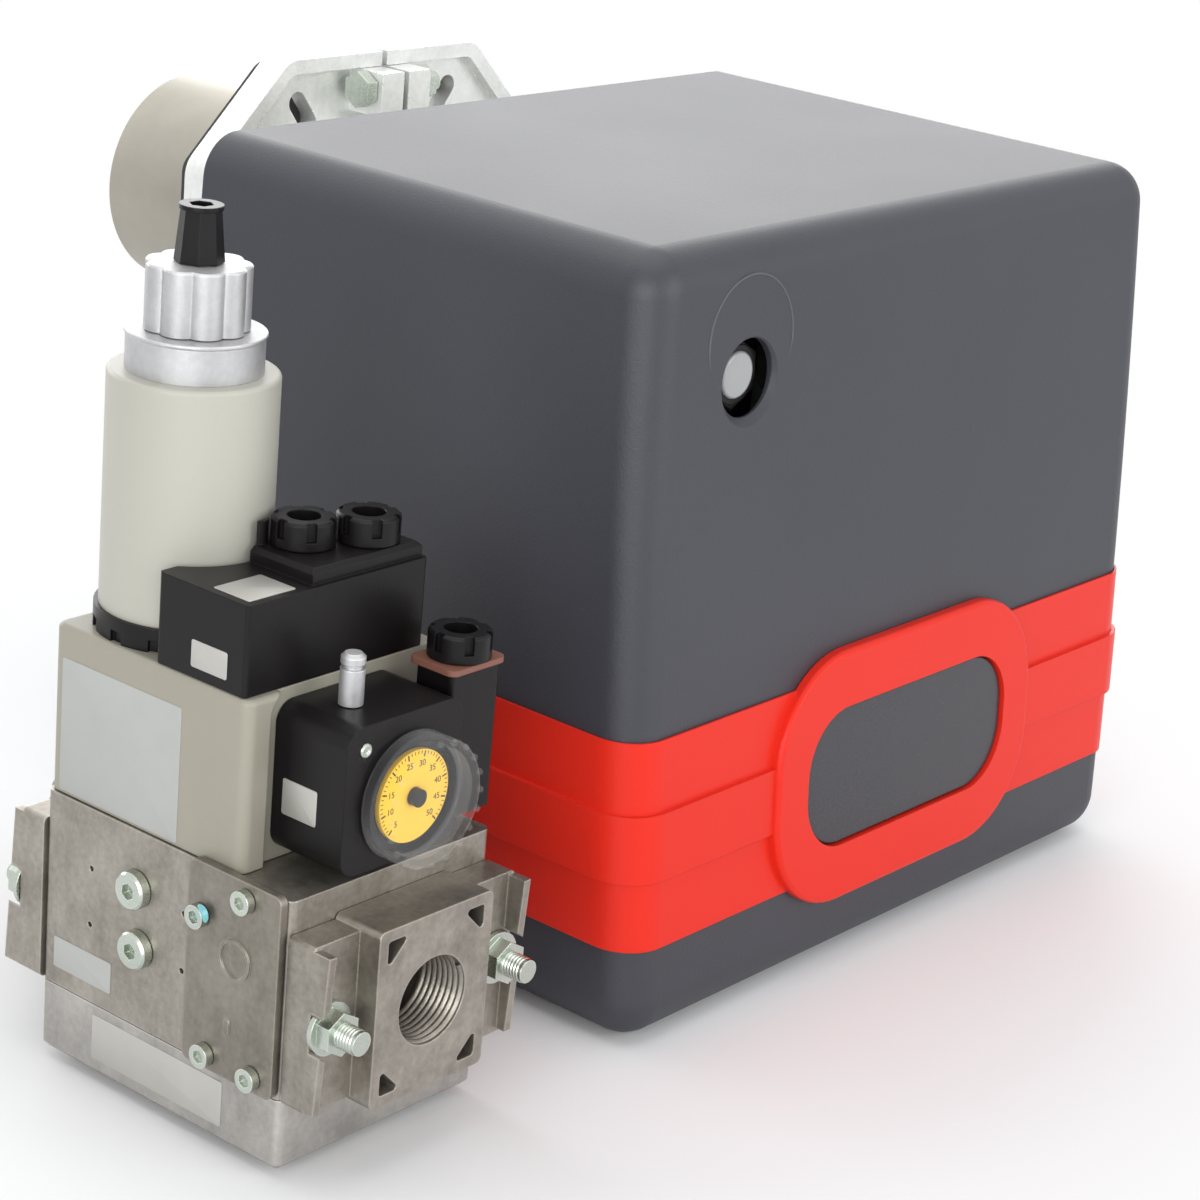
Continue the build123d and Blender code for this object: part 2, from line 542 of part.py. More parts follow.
# ---------------------------------------------------------------- electrics in the cover
def control_box():
    base_x = -SCROLL_WIDTH / 2
    x1 = RESET_X + CONTROL_WIDTH / 2
    x0 = RESET_X - CONTROL_WIDTH / 2
    z1 = RESET_Z + 26
    z0 = z1 - CONTROL_HEIGHT
    face = front_y(RESET_Z)
    front = face + CONTROL_SET_BACK
    plate = box(x0, base_x - SEAT, front + CONTROL_DEPTH + SEAT, front + CONTROL_DEPTH + 3, z0, z1)
    foot = box(base_x - 3 - SEAT, base_x - SEAT, front + CONTROL_DEPTH + SEAT,
               front + CONTROL_DEPTH + 24, z0, z1 - 30)
    save("control_bracket", plate + foot)
    lower = box(x0, x1, front + CONTROL_DEPTH - 14, front + CONTROL_DEPTH, z0, z1)
    save("control_base", fillet(lower.edges().filter_by(Axis.Y), 3))
    body = box(x0, x1, front + 6, front + CONTROL_DEPTH - 14 - SEAT, z0, z1)
    body = fillet(body.edges().filter_by(Axis.Y), 3)
    body = chamfer(body.faces().sort_by(Axis.Y)[0].edges(), 2)
    well = BUTTON_R + RUN
    body -= rod(well, 20, (RESET_X, front - 10, RESET_Z), (0, 1, 0))
    save("control_box", body)
    nose_y = face + RESET_RECESS + 1
    nose = ring(BUTTON_R + 2, well, front + 6 - SEAT - nose_y, (RESET_X, nose_y, RESET_Z), (0, 1, 0))
    nut = hexagon(BEZEL_AF, BEZEL_THICKNESS, (RESET_X, nose_y + 0.6, RESET_Z), (0, 1, 0))
    nut = chamfer(nut.faces().sort_by(Axis.Y)[0].edges(), 0.6)
    save("reset_bezel", nose + (nut - rod(well, 20, (RESET_X, face, RESET_Z), (0, 1, 0))))
    tip = face + RESET_RECESS
    button = rod(BUTTON_R, front + 9.5 - BUTTON_TRAVEL - tip, (RESET_X, tip, RESET_Z), (0, 1, 0))
    button = fillet(button.edges().sort_by(Axis.Y)[0], 1.2)
    save("reset_button", button)


def ignition_transformer():
    x0 = SCROLL_WIDTH / 2 + SEAT
    y1 = PLATE_Y - PLATE_THICKNESS - 10
    top = TRANSFORMER_TOP_Z
    body = box(x0, x0 + TRANSFORMER_WIDTH, y1 - TRANSFORMER_LENGTH, y1, top - TRANSFORMER_HEIGHT, top)
    body = fillet(body.edges().filter_by(Axis.X), 4)
    for share in (0.22, 0.69):
        body += rod(8, 10, (x0 + TRANSFORMER_WIDTH / 2, y1 - share * TRANSFORMER_LENGTH, top), (0, 0, 1))
    save("ignition_transformer", body)


def air_pressure_switch():
    x0 = SCROLL_WIDTH / 2 + SEAT
    y1 = PLATE_Y - PLATE_THICKNESS - TRANSFORMER_LENGTH - 40
    centre = (x0, y1 - AIR_SWITCH_R, TRANSFORMER_TOP_Z - AIR_SWITCH_R - 10)
    body = rod(AIR_SWITCH_R, AIR_SWITCH_DEPTH - 12, centre, (1, 0, 0))
    body += rod(AIR_SWITCH_R - 4, AIR_SWITCH_DEPTH, centre, (1, 0, 0))
    body = fillet(body.edges().filter_by(GeomType.CIRCLE).group_by(Axis.X)[-1], 2)
    save("air_pressure_switch", body)


# ---------------------------------------------------------------- gas pipe
def gas_pipe():
    run_y = pipe_run_y()
    path = FilletPolyline(
        (VALVE_X, run_y - ELBOW_R, GAS_Z), (VALVE_X, run_y, GAS_Z),
        (PIPE_INNER_X, run_y, GAS_Z), (PIPE_INNER_X, PIPE_RISER_Y, GAS_Z),
        (0, PIPE_RISER_Y, GAS_Z), (0, PIPE_RISER_Y, -TUBE_R - TUBE_BOSS - SEAT),
        radius=ELBOW_R - 0.5)
    section = Plane(origin=path @ 0, z_dir=path % 0) * (Circle(PIPE_R) - Circle(PIPE_R - PIPE_WALL))
    save("gas_pipe", sweep(section, path=path))


# ---------------------------------------------------------------- gas valve
def flange_block(face_y, back_y):
    """Square threaded flange with corner pockets and two bolted ears, along Y."""
    depth = abs(back_y - face_y)
    way = 1 if back_y > face_y else -1
    plane = Plane(origin=(VALVE_X, face_y, GAS_Z), x_dir=(1, 0, 0), z_dir=(0, way, 0))
    block = extrude(RectangleRounded(FLANGE_BLOCK_WIDTH, FLANGE_BLOCK_HEIGHT, 2.5), depth)
    half_ear = STUD_SPREAD + 7.5
    ear = extrude(RectangleRounded(2 * half_ear, EAR_HEIGHT, 2), EAR_THICKNESS)
    ear_face = depth - EAR_THICKNESS
    shape = block + Pos(0, 0, ear_face) * ear
    top = EAR_HEIGHT / 2 - 1
    fin_side = make_face(Polyline((top, ear_face + 1), (top, ear_face - EAR_FIN_REACH / 2),
                                  (-top, ear_face - EAR_FIN_REACH), (-top, ear_face + 1), close=True))
    fin = Plane(origin=(half_ear - EAR_FIN_WIDTH, 0, 0), x_dir=(0, 1, 0), z_dir=(1, 0, 0)) * extrude(
        fin_side, EAR_FIN_WIDTH)
    fins = fin + mirror(fin, about=Plane.YZ)
    for sx in (-1, 1):
        fins -= Pos(sx * STUD_SPREAD, 0, -1) * extrude(Circle(NUT_FLANGE_R + 1), ear_face + 1)
    shape += fins
    shape += Plane(origin=(0, FLANGE_BLOCK_HEIGHT / 2, depth / 2), z_dir=(0, 1, 0)) * extrude(Circle(6), 1)
    leg = 9.5
    inset = 4.0
    for sx in (-1, 1):
        for sz in (-1, 1):
            x = sx * (FLANGE_BLOCK_WIDTH / 2 - inset)
            z = sz * (FLANGE_BLOCK_HEIGHT / 2 - inset)
            pocket = make_face(Polyline((x, z), (x - sx * leg, z), (x, z - sz * leg), close=True))
            pocket = fillet(pocket.vertices(), 1.2)
            shape -= extrude(pocket, depth - 5)
        shape -= Pos(sx * STUD_SPREAD, 0, -1) * extrude(Circle(STUD_R + HOLE_PLAY), depth + 2)
    shape -= Pos(0, 0, -1) * extrude(Circle(GAS_BORE_R), depth + 2)
    return plane * shape


def flange_studs(seat_y, out, foot_depth, tail):
    """Two studs with flanged hexagon nuts on the ears of a flange."""
    pieces = []
    for sx in (-1, 1):
        x = VALVE_X + sx * STUD_SPREAD
        stud = rod(STUD_R, foot_depth + NUT_T + tail, (x, seat_y - out * foot_depth, GAS_Z), (0, out, 0))
        nut = hexagon(NUT_AF, NUT_T, (x, seat_y, GAS_Z), (0, out, 0))
        collar = rod(NUT_FLANGE_R, 1.8, (x, seat_y, GAS_Z), (0, out, 0))
        pieces.append(stud + nut + collar)
    return pieces


def gas_valve():
    x0 = VALVE_X - VALVE_WIDTH / 2
    x1 = VALVE_X + VALVE_WIDTH / 2
    y0 = VALVE_FRONT_Y
    y1 = VALVE_FRONT_Y + VALVE_LENGTH
    body = box(x0, x1, y0, y1, SEAM_Z + SEAT, METAL_TOP_Z)
    body = fillet(body.edges().filter_by(Axis.Z), VALVE_EDGE_R)
    for y, way in ((y0, 1), (y1, -1)):
        body -= rod(GAS_BORE_R + 2, 40, (VALVE_X, y - way, GAS_Z), (0, way, 0))
        for sx in (-1, 1):
            body -= rod(STUD_R + HOLE_PLAY, 12, (VALVE_X + sx * STUD_SPREAD, y - way, GAS_Z), (0, way, 0))
    for dy, dz in PLUG_PLACES:
        body -= rod(4.5, 8, (x0 - 1, y0 + dy, GAS_Z + dz), (1, 0, 0))
    for dy in (47, 91):
        for dz in (-1, 19):
            body -= rod(1, 4, (x0 - 1, y0 + dy, GAS_Z + dz), (1, 0, 0))
    save("valve_body", body)
    lid = box(x0, x1, y0, y1, VALVE_BOTTOM_Z, SEAM_Z)
    lid = fillet(lid.edges().filter_by(Axis.Z), VALVE_EDGE_R)
    lid = chamfer(lid.faces().sort_by(Axis.Z)[0].edges(), 2)
    save("valve_bottom_cover", lid)
    upper = box(x0 + 1, x1 - 1, y0 + CREAM_INSET, y1, METAL_TOP_Z + SEAT, VALVE_TOP_Z)
    upper = fillet(upper.edges().filter_by(Axis.Z), 4)
    upper = fillet(upper.faces().sort_by(Axis.Z)[-1].edges(), 2)
    sx0, sx1, _, _, sz0, sz1 = switch_case()
    pocket_x = (sx0 - POCKET_MARGIN + x1 + 10) / 2
    pocket = RectangleRounded(x1 + 10 - sx0 + POCKET_MARGIN, sz1 - sz0 + 2 * POCKET_MARGIN + 20, 9)
    pocket_z = (sz1 + POCKET_MARGIN + sz0 - POCKET_MARGIN - 20) / 2
    plane = Plane(origin=(pocket_x, y0 + CREAM_INSET + SWITCH_POCKET, pocket_z), x_dir=(1, 0, 0),
                  z_dir=(0, -1, 0))
    save("valve_upper_housing", upper - plane * extrude(pocket, 20))
    save("inlet_flange", flange_block(y0 - FLANGE_BLOCK_DEPTH, y0 - SEAT))
    save("outlet_flange", flange_block(y1 + FLANGE_BLOCK_DEPTH, y1 + SEAT))
    save("inlet_studs", *flange_studs(y0 - SEAT - EAR_THICKNESS - SEAT, -1, EAR_THICKNESS + 8, 8))
    save("outlet_studs", *flange_studs(y1 + SEAT + EAR_THICKNESS + SEAT, 1, EAR_THICKNESS + 8, 4))
    plate = box(x0 - SIDE_PLATE_T - SEAT, x0 - SEAT, y0 + 1, y0 + SIDE_PLATE_LENGTH,
                SEAM_Z + 1, METAL_TOP_Z + 2)
    plate = fillet(plate.edges().filter_by(Axis.X), 3)
    ring_y = y0 + 20
    plate_x = x0 - SIDE_PLATE_T - SEAT
    emboss = ring(7, 5.8, 0.6, (plate_x, ring_y, GAS_Z + 14), (-1, 0, 0))
    screws = []
    for dy, z in ((16, METAL_TOP_Z - 4), (36, METAL_TOP_Z - 16), (31, SEAM_Z + 6), (10, SEAM_Z + 6)):
        head = rod(4, 3, (plate_x - SEAT, y0 + dy, z), (-1, 0, 0))
        head -= hexagon(4, 2, (plate_x - SEAT - 3.2, y0 + dy, z), (1, 0, 0))
        screws.append(head)
    mark = Plane(origin=(plate_x, ring_y + 2, GAS_Z - 10), z_dir=(-1, 0, 0)) * extrude(
        SlotOverall(6, 2.6), 0.5)
    save("valve_side_plate", plate + emboss + mark)
    save("side_plate_screws", *screws)
    plugs = []
    for dy, dz in PLUG_PLACES:
        start = (x0 - SEAT, y0 + dy, GAS_Z + dz)
        plug = rod(PLUG_R, 4, start, (-1, 0, 0)) + rod(4.4, 4, start, (1, 0, 0))
        plug = chamfer(plug.edges().filter_by(GeomType.CIRCLE).sort_by(Axis.X)[0], 0.8)
        plugs.append(plug - hexagon(5, 3, (x0 - SEAT - 4.2, y0 + dy, GAS_Z + dz), (1, 0, 0)))
    save("test_plugs", *plugs)


def solenoid():
    up = (0, 0, 1)
    z = VALVE_TOP_Z
    at = (SOLENOID_X, SOLENOID_Y)
    collar = rod(COLLAR_R, COLLAR_HEIGHT, (*at, z), up)
    for k in range(12):
        notch = Rot(0, 0, 30 * k) * box(COLLAR_R - 1.5, COLLAR_R + 5, -2.5, 2.5, -1, 4)
        collar -= Pos(*at, z) * notch
    save("solenoid_collar", collar)
    z += COLLAR_HEIGHT
    can = rod(CAN_R, CAN_HEIGHT, (*at, z), up)
    can = fillet(can.edges().filter_by(GeomType.CIRCLE).sort_by(Axis.Z)[-1], 1.5)
    save("solenoid_can", can)
    z += CAN_HEIGHT
    band = rod(CAN_RING_R, CAN_RING_HEIGHT, (*at, z), up)
    lip = rod(CAN_RING_R + 0.6, 1.4, (*at, z + CAN_RING_HEIGHT - 1.4), up)
    band += fillet(lip.edges().filter_by(GeomType.CIRCLE), 0.5)
    band += rod(KNOB_POST_R, KNOB_HEIGHT + 2, (*at, z + CAN_RING_HEIGHT), up)
    save("damper_ring", band)
    z += CAN_RING_HEIGHT + SEAT
    lobes = Circle(KNOB_R - KNOB_LOBE_R + 1)
    for k in range(KNOB_LOBES):
        lobes += Rot(0, 0, 360 / KNOB_LOBES * k) * Pos(KNOB_R - KNOB_LOBE_R, 0) * Circle(KNOB_LOBE_R)
    knob = extrude(lobes, KNOB_HEIGHT)
    knob = chamfer(knob.faces().sort_by(Axis.Z)[-1].edges(), 0.6)
    knob -= Pos(0, 0, -1) * extrude(Circle(KNOB_POST_R + RUN), KNOB_HEIGHT + 2)
    save("flow_knob", Pos(*at, z) * knob)
    z += KNOB_HEIGHT
    rim_h = 1.5
    cap = extrude(RegularPolygon(CAP_R, 8), CAP_HEIGHT - rim_h, taper=5)
    cap += Pos(0, 0, CAP_HEIGHT - rim_h) * extrude(Circle(CAP_TOP_R), rim_h)
    cap -= Pos(0, 0, -1) * extrude(Circle(KNOB_POST_R + RUN), 4)
    cap -= Pos(0, 0, CAP_HEIGHT - 4) * extrude(RegularPolygon(4, 6), 6)
    save("brake_cap", Pos(*at, z + SEAT) * cap)


def gland(at, base_z):
    """Notched gland nut with a cable hole, standing up."""
    nut = extrude(Circle(GLAND_R), GLAND_HEIGHT)
    nut = chamfer(nut.edges().sort_by(Axis.Z)[-1], 0.8)
    notch = box(GLAND_R - 2, GLAND_R + 2, -1.6, 1.6, 3, GLAND_HEIGHT + 1)
    for k in range(GLAND_NOTCHES):
        nut -= Rot(0, 0, 360 / GLAND_NOTCHES * k) * notch
    nut -= Pos(0, 0, GLAND_FLOOR) * extrude(Circle(CABLE_R), GLAND_HEIGHT)
    return Pos(*at, base_z) * nut


def connector_box():
    x0 = VALVE_X - VALVE_WIDTH / 2 + 2
    y0 = VALVE_FRONT_Y + CREAM_INSET + 3
    z0 = VALVE_TOP_Z + SEAT
    case = box(x0, x0 + BOX_LENGTH, y0, y0 + BOX_DEPTH, z0, z0 + BOX_HEIGHT)
    case = fillet(case.edges().filter_by(Axis.Z), 1.5)
    deck_x = x0 + BOX_LENGTH - BOX_DECK
    deck = box(deck_x, x0 + BOX_LENGTH - 1, y0 + 2, y0 + BOX_DEPTH - 1, z0, z0 + BOX_HEIGHT + BOX_STEP)
    case += chamfer(deck.faces().sort_by(Axis.Z)[-1].edges(), 1.5)
    case += rod(3.2, BOX_STEP + 8, (deck_x + 5, y0 + BOX_DEPTH - 8, z0 + BOX_HEIGHT), (0, 0, 1))
    case -= rod(COLLAR_R + 1, 2 * BOX_HEIGHT, (SOLENOID_X, SOLENOID_Y, z0 - 1), (0, 0, 1))
    save("connector_box", case)
    top = z0 + BOX_HEIGHT + BOX_STEP + SEAT
    left, right = gland_places(x0, y0)
    save("connector_glands", gland(left, top), gland(right, top))


def gland_places(x0, y0):
    """Middles of the two cable glands of a connector box whose corner is given."""
    return ((x0 + BOX_LENGTH - BOX_DECK + 16, y0 + BOX_DEPTH - 17), (x0 + BOX_LENGTH - 14, y0 + 14))


def switch_case():
    """Pressure switch body: x0, x1, y0, y1, z0, z1."""
    x0 = VALVE_X - VALVE_WIDTH / 2 + 16
    y0 = VALVE_FRONT_Y + CREAM_INSET - SEAT - SWITCH_DEPTH
    z0 = METAL_TOP_Z + 4
    return x0, x0 + SWITCH_WIDTH, y0, y0 + SWITCH_DEPTH + SWITCH_POCKET, z0, z0 + SWITCH_HEIGHT


def pressure_switch():
    x0, x1, y0, y1, z0, z1 = switch_case()
    case = box(x0, x1, y0, y1, z0, z1)
    case = fillet(case.edges().filter_by(Axis.Y), 7)
    foot = rod(9, 4 - SEAT, (x0 + SWITCH_WIDTH / 2, (y0 + y1) / 2 + 2, METAL_TOP_Z + SEAT), (0, 0, 1))
    centre = (x0 + 29, y0, z0 + 22)
    case += ring(DIAL_R - 1, DIAL_R - 3, 3, centre, (0, -1, 0))
    spigot_r = 3.0
    case += rod(spigot_r, 5, centre, (0, -1, 0))
    save("pressure_switch", case + foot)
    disc = ring(DIAL_R - 6, spigot_r + RUN, 2, (centre[0], y0 - SEAT, centre[2]), (0, -1, 0))
    save("pressure_dial", disc)
    glass = rod(DIAL_R, DIAL_DEPTH, centre, (0, -1, 0))
    glass = fillet(glass.edges().filter_by(GeomType.CIRCLE).sort_by(Axis.Y)[0], 1.5)
    glass -= rod(DIAL_R - 1 + SEAT, 3 + SEAT, (centre[0], y0 + 0.01, centre[2]), (0, -1, 0))
    glass -= rod(DIAL_R - 3, DIAL_DEPTH - 1.5, (centre[0], y0 + 0.01, centre[2]), (0, -1, 0))
    save("dial_window", Pos(0, -SEAT, 0) * glass)
    nipple_at = (x0 + 17, y0 + 16)
    top = z1 + SEAT
    nipple = rod(NIPPLE_R, NIPPLE_LENGTH, (*nipple_at, top), (0, 0, 1))
    nipple = chamfer(nipple.edges().filter_by(GeomType.CIRCLE).sort_by(Axis.Z)[-1], 1.2)
    waist = ring(NIPPLE_R + 1, NIPPLE_R - 0.9, 1.6, (*nipple_at, top + NIPPLE_WAIST), (0, 0, 1))
    save("test_nipple", nipple - waist)
    dx0 = x1 + SEAT
    dx1 = VALVE_X + VALVE_WIDTH / 2
    din_y = y0 + 6
    plug = box(dx0, dx1, din_y, din_y + DIN_DEPTH, z0 + 4, z0 + 4 + DIN_HEIGHT)
    plug = fillet(plug.edges().filter_by(Axis.Z), 1.5)
    save("din_connector", plug)
    pad_z = z0 + 4 + DIN_HEIGHT + SEAT
    pad = box(dx0 - 2, dx1 + 1, din_y - 2, din_y + DIN_DEPTH + 2, pad_z, pad_z + 2)
    save("din_gasket", fillet(pad.edges().filter_by(Axis.Z), 3))
    save("din_gland", gland(((dx0 + dx1) / 2, din_y + DIN_DEPTH / 2), pad_z + 2 + SEAT))


def build_all():
    cover_hood()
    red_band()
    blast_tube()
    mounting_flange()
    gas_head()
    back_plate()
    fan_housing()
    fan_wheel()
    motor()
    air_box()
    control_box()
    ignition_transformer()
    air_pressure_switch()
    gas_pipe()
    gas_valve()
    solenoid()
    connector_box()
    pressure_switch()


build_all()
os.makedirs("parts", exist_ok=True)
for node, shape in PARTS.items():
    export_step(shape, f"parts/{node}.step")
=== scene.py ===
"""Looks of a forced-draught gas burner, dressed round its packed construction.

Lengths are metres. The blast tube runs along +Y, the operator stands at -Y, the gas train at -X.
"""
import json
import logging
import math
from dataclasses import dataclass, field
from enum import Enum
from typing import Iterable, Optional, Sequence, Union

import bmesh
import bpy
from mathutils import Matrix, Vector


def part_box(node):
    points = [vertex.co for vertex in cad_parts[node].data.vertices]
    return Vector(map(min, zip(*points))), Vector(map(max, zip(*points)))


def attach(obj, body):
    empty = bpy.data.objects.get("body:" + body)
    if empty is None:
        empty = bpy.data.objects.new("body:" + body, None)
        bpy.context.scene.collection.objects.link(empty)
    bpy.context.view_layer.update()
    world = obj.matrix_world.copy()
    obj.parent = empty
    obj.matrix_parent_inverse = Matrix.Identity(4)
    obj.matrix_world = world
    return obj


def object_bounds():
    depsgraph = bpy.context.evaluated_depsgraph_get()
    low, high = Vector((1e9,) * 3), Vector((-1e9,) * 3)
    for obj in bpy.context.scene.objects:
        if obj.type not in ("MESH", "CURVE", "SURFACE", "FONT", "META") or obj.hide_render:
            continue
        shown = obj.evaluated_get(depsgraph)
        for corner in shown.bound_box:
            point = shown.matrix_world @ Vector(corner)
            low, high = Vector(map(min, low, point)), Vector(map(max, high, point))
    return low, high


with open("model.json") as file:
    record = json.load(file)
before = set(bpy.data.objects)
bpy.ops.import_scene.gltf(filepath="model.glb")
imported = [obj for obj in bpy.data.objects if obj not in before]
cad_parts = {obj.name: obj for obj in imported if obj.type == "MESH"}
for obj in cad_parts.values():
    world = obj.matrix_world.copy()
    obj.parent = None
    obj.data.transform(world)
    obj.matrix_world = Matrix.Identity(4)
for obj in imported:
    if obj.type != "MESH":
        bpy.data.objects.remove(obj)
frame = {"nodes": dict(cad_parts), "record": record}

CAD_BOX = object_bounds()
LOG = logging.getLogger("gas_burner")
MM = 0.001
Colour = tuple[float, float, float]
Point = tuple[float, float]
Number = Union[int, float]

WHITE = (1.0, 1.0, 1.0)
LEFT = Vector((-1.0, 0.0, 0.0))
FRONT = Vector((0.0, -1.0, 0.0))
BACK = Vector((0.0, 1.0, 0.0))
UP = Vector((0.0, 0.0, 1.0))


# --------------------------------------------------------------------------- shader language
class Shader:
    """One material's node tree, written as expressions."""

    EDGE_SAMPLES = 6
    EDGE_GAIN = 12.0
    ROUND_SAMPLES = 4

    def __init__(self, name: str) -> None:
        """Starts an empty material.

        Args:
            name: the material's name.
        """
        self.material = bpy.data.materials.new(name)
        self.material.use_nodes = True
        self.tree = self.material.node_tree
        self.tree.nodes.clear()
        self.surface = self.tree.nodes.new("ShaderNodeBsdfPrincipled")
        self.output = self.tree.nodes.new("ShaderNodeOutputMaterial")
        self.tree.links.new(self.surface.outputs[0], self.output.inputs[0])

    def node(self, kind: str, settings: Optional[dict] = None, inputs: Optional[dict] = None,
             output: Union[int, str] = 0) -> "Field":
        """Adds any node.

        Args:
            kind: the node's type, without the ShaderNode prefix.
            settings: properties set first.
            inputs: socket name or index to a number, colour, vector or Field.
            output: the output socket wanted.

        Returns:
            The output as a Field.
        """
        made = self.tree.nodes.new("ShaderNode" + kind)
        for key, value in (settings or {}).items():
            setattr(made, key, value)
        for key, value in (inputs or {}).items():
            self.feed(made.inputs[key], value)
        return Field(self, made.outputs[output])

    def feed(self, socket: bpy.types.NodeSocket, value: "Union[Field, Number, Sequence]") -> None:
        """Links a Field to a socket, or sets a constant on it.

        Args:
            socket: the input socket.
            value: the Field, number, colour or vector.
        """
        if isinstance(value, Field):
            self.tree.links.new(value.socket, socket)
        elif isinstance(value, (int, float)):
            socket.default_value = value
        elif len(socket.default_value) == 4 and len(value) == 3:
            socket.default_value = (*value, 1.0)
        else:
            socket.default_value = value

    def place(self) -> "Field":
        """Position on the piece, in metres, which moves with the piece."""
        return self.node("TexCoord", output="Object")

    def noise(self, scale: float, detail: float = 2.0, rough: float = 0.5,
              at: "Optional[Field]" = None) -> "Field":
        """Noise from 0 to 1.

        Args:
            scale: features per metre.
            detail: octaves.
            rough: weight of the fine octaves.
            at: position, the piece's own by default.

        Returns:
            The noise value.
        """
        inputs = {"Vector": at or self.place(), "Scale": scale, "Detail": detail, "Roughness": rough}
        return self.node("TexNoise", inputs=inputs)

    def stretch(self, factors: Sequence[float]) -> "Field":
        """The piece's position with each axis scaled."""
        return self.node("VectorMath", {"operation": "MULTIPLY"}, {0: self.place(), 1: factors})

    def blend(self, low: "Union[Field, Colour]", high: "Union[Field, Colour]", factor: "Field") -> "Field":
        """Mixes two colours.

        Args:
            low: the colour at 0.
            high: the colour at 1.
            factor: the mix.

        Returns:
            The mixed colour.
        """
        made = self.tree.nodes.new("ShaderNodeMix")
        made.data_type = "RGBA"
        for socket, value in ((made.inputs[0], factor), (made.inputs[6], low), (made.inputs[7], high)):
            self.feed(socket, value)
        return Field(self, made.outputs[2])

    def edges(self, radius: float) -> "Field":
        """Mask that is 1 along sharp edges and 0 on flat stretches."""
        soft = self.node("Bevel", {"samples": self.EDGE_SAMPLES}, {"Radius": radius})
        plain = self.node("NewGeometry", output="Normal")
        dot = self.node("VectorMath", {"operation": "DOT_PRODUCT"}, {0: soft, 1: plain}, output="Value")
        return ((1.0 - dot) * self.EDGE_GAIN).held()

    def bump(self, height: "Field", depth: float, strength: float = 1.0, round_off: float = 0.0) -> "Field":
        """Normal from a height.

        Args:
            height: the height Field, 0 to 1.
            depth: what a height of 1 measures, in metres.
            strength: how much of it shows.
            round_off: radius that sharp edges are rounded to in shading.

        Returns:
            The normal.
        """
        inputs = {"Height": height, "Distance": depth, "Strength": strength}
        if round_off > 0:
            inputs["Normal"] = self.node("Bevel", {"samples": self.ROUND_SAMPLES}, {"Radius": round_off})
        return self.node("Bump", inputs=inputs)

    def done(self, **sockets: "Union[Field, Number, Sequence]") -> bpy.types.Material:
        """Sets the surface's sockets and returns the material.

        Args:
            **sockets: socket names with _ for spaces.

        Returns:
            The finished material.
        """
        for name, value in sockets.items():
            self.feed(self.surface.inputs[name.replace("_", " ")], value)
        return self.material


class Field:
    """A shader value that takes part in Python expressions."""

    def __init__(self, shader: Shader, socket: bpy.types.NodeSocket) -> None:
        """Wraps an output socket of a shader."""
        self.shader = shader
        self.socket = socket

    def _math(self, operation: str, first: "Union[Field, Number]", second: "Union[Field, Number]") -> "Field":
        """Adds one Math node."""
        return self.shader.node("Math", {"operation": operation}, {0: first, 1: second})

    def __add__(self, other: "Union[Field, Number]") -> "Field":
        """Sum."""
        return self._math("ADD", self, other)

    def __radd__(self, other: Number) -> "Field":
        """Sum, reflected."""
        return self._math("ADD", other, self)

    def __sub__(self, other: "Union[Field, Number]") -> "Field":
        """Difference."""
        return self._math("SUBTRACT", self, other)

    def __rsub__(self, other: Number) -> "Field":
        """Difference, reflected."""
        return self._math("SUBTRACT", other, self)

    def __mul__(self, other: "Union[Field, Number]") -> "Field":
        """Product."""
        return self._math("MULTIPLY", self, other)

    def __rmul__(self, other: Number) -> "Field":
        """Product, reflected."""
        return self._math("MULTIPLY", other, self)

    def held(self) -> "Field":
        """Held between 0 and 1."""
        return self.shader.node("Clamp", inputs={0: self})


# --------------------------------------------------------------------------- finishes
@dataclass(frozen=True)
class Moulded:
    """Moulded plastic with a fine grain."""

    name: str
    colour: Colour
    roughness: float = 0.45
    grain: float = 1100.0
    grain_depth: float = 0.00008
    coat: float = 0.0
    speckle: float = 0.06
    shine: float = 0.5
    cloud_scale: float = 9.0
    cloud_spread: float = 0.08
    grain_spread: float = 0.06
    grain_strength: float = 0.6
    coat_roughness: float = 0.06
    edge_round: float = 0.0006

    def make(self) -> bpy.types.Material:
        """Builds the material."""
        shader = Shader(self.name)
        cloud = shader.noise(self.cloud_scale, 3.0)
        fine = shader.noise(self.grain, 2.0, 0.6)
        dark = tuple(c * (1 - self.speckle * 2) for c in self.colour)
        light = tuple(min(1.0, c * (1 + self.speckle * 2)) for c in self.colour)
        colour = shader.blend(dark, light, (cloud * 0.6 + fine * 0.4).held())
        return shader.done(
            Base_Color=colour,
            Roughness=self.roughness + (cloud - 0.5) * self.cloud_spread + (fine - 0.5) * self.grain_spread,
            Normal=shader.bump(fine, self.grain_depth, self.grain_strength, self.edge_round),
            Coat_Weight=self.coat, Coat_Roughness=self.coat_roughness, Specular_IOR_Level=self.shine)


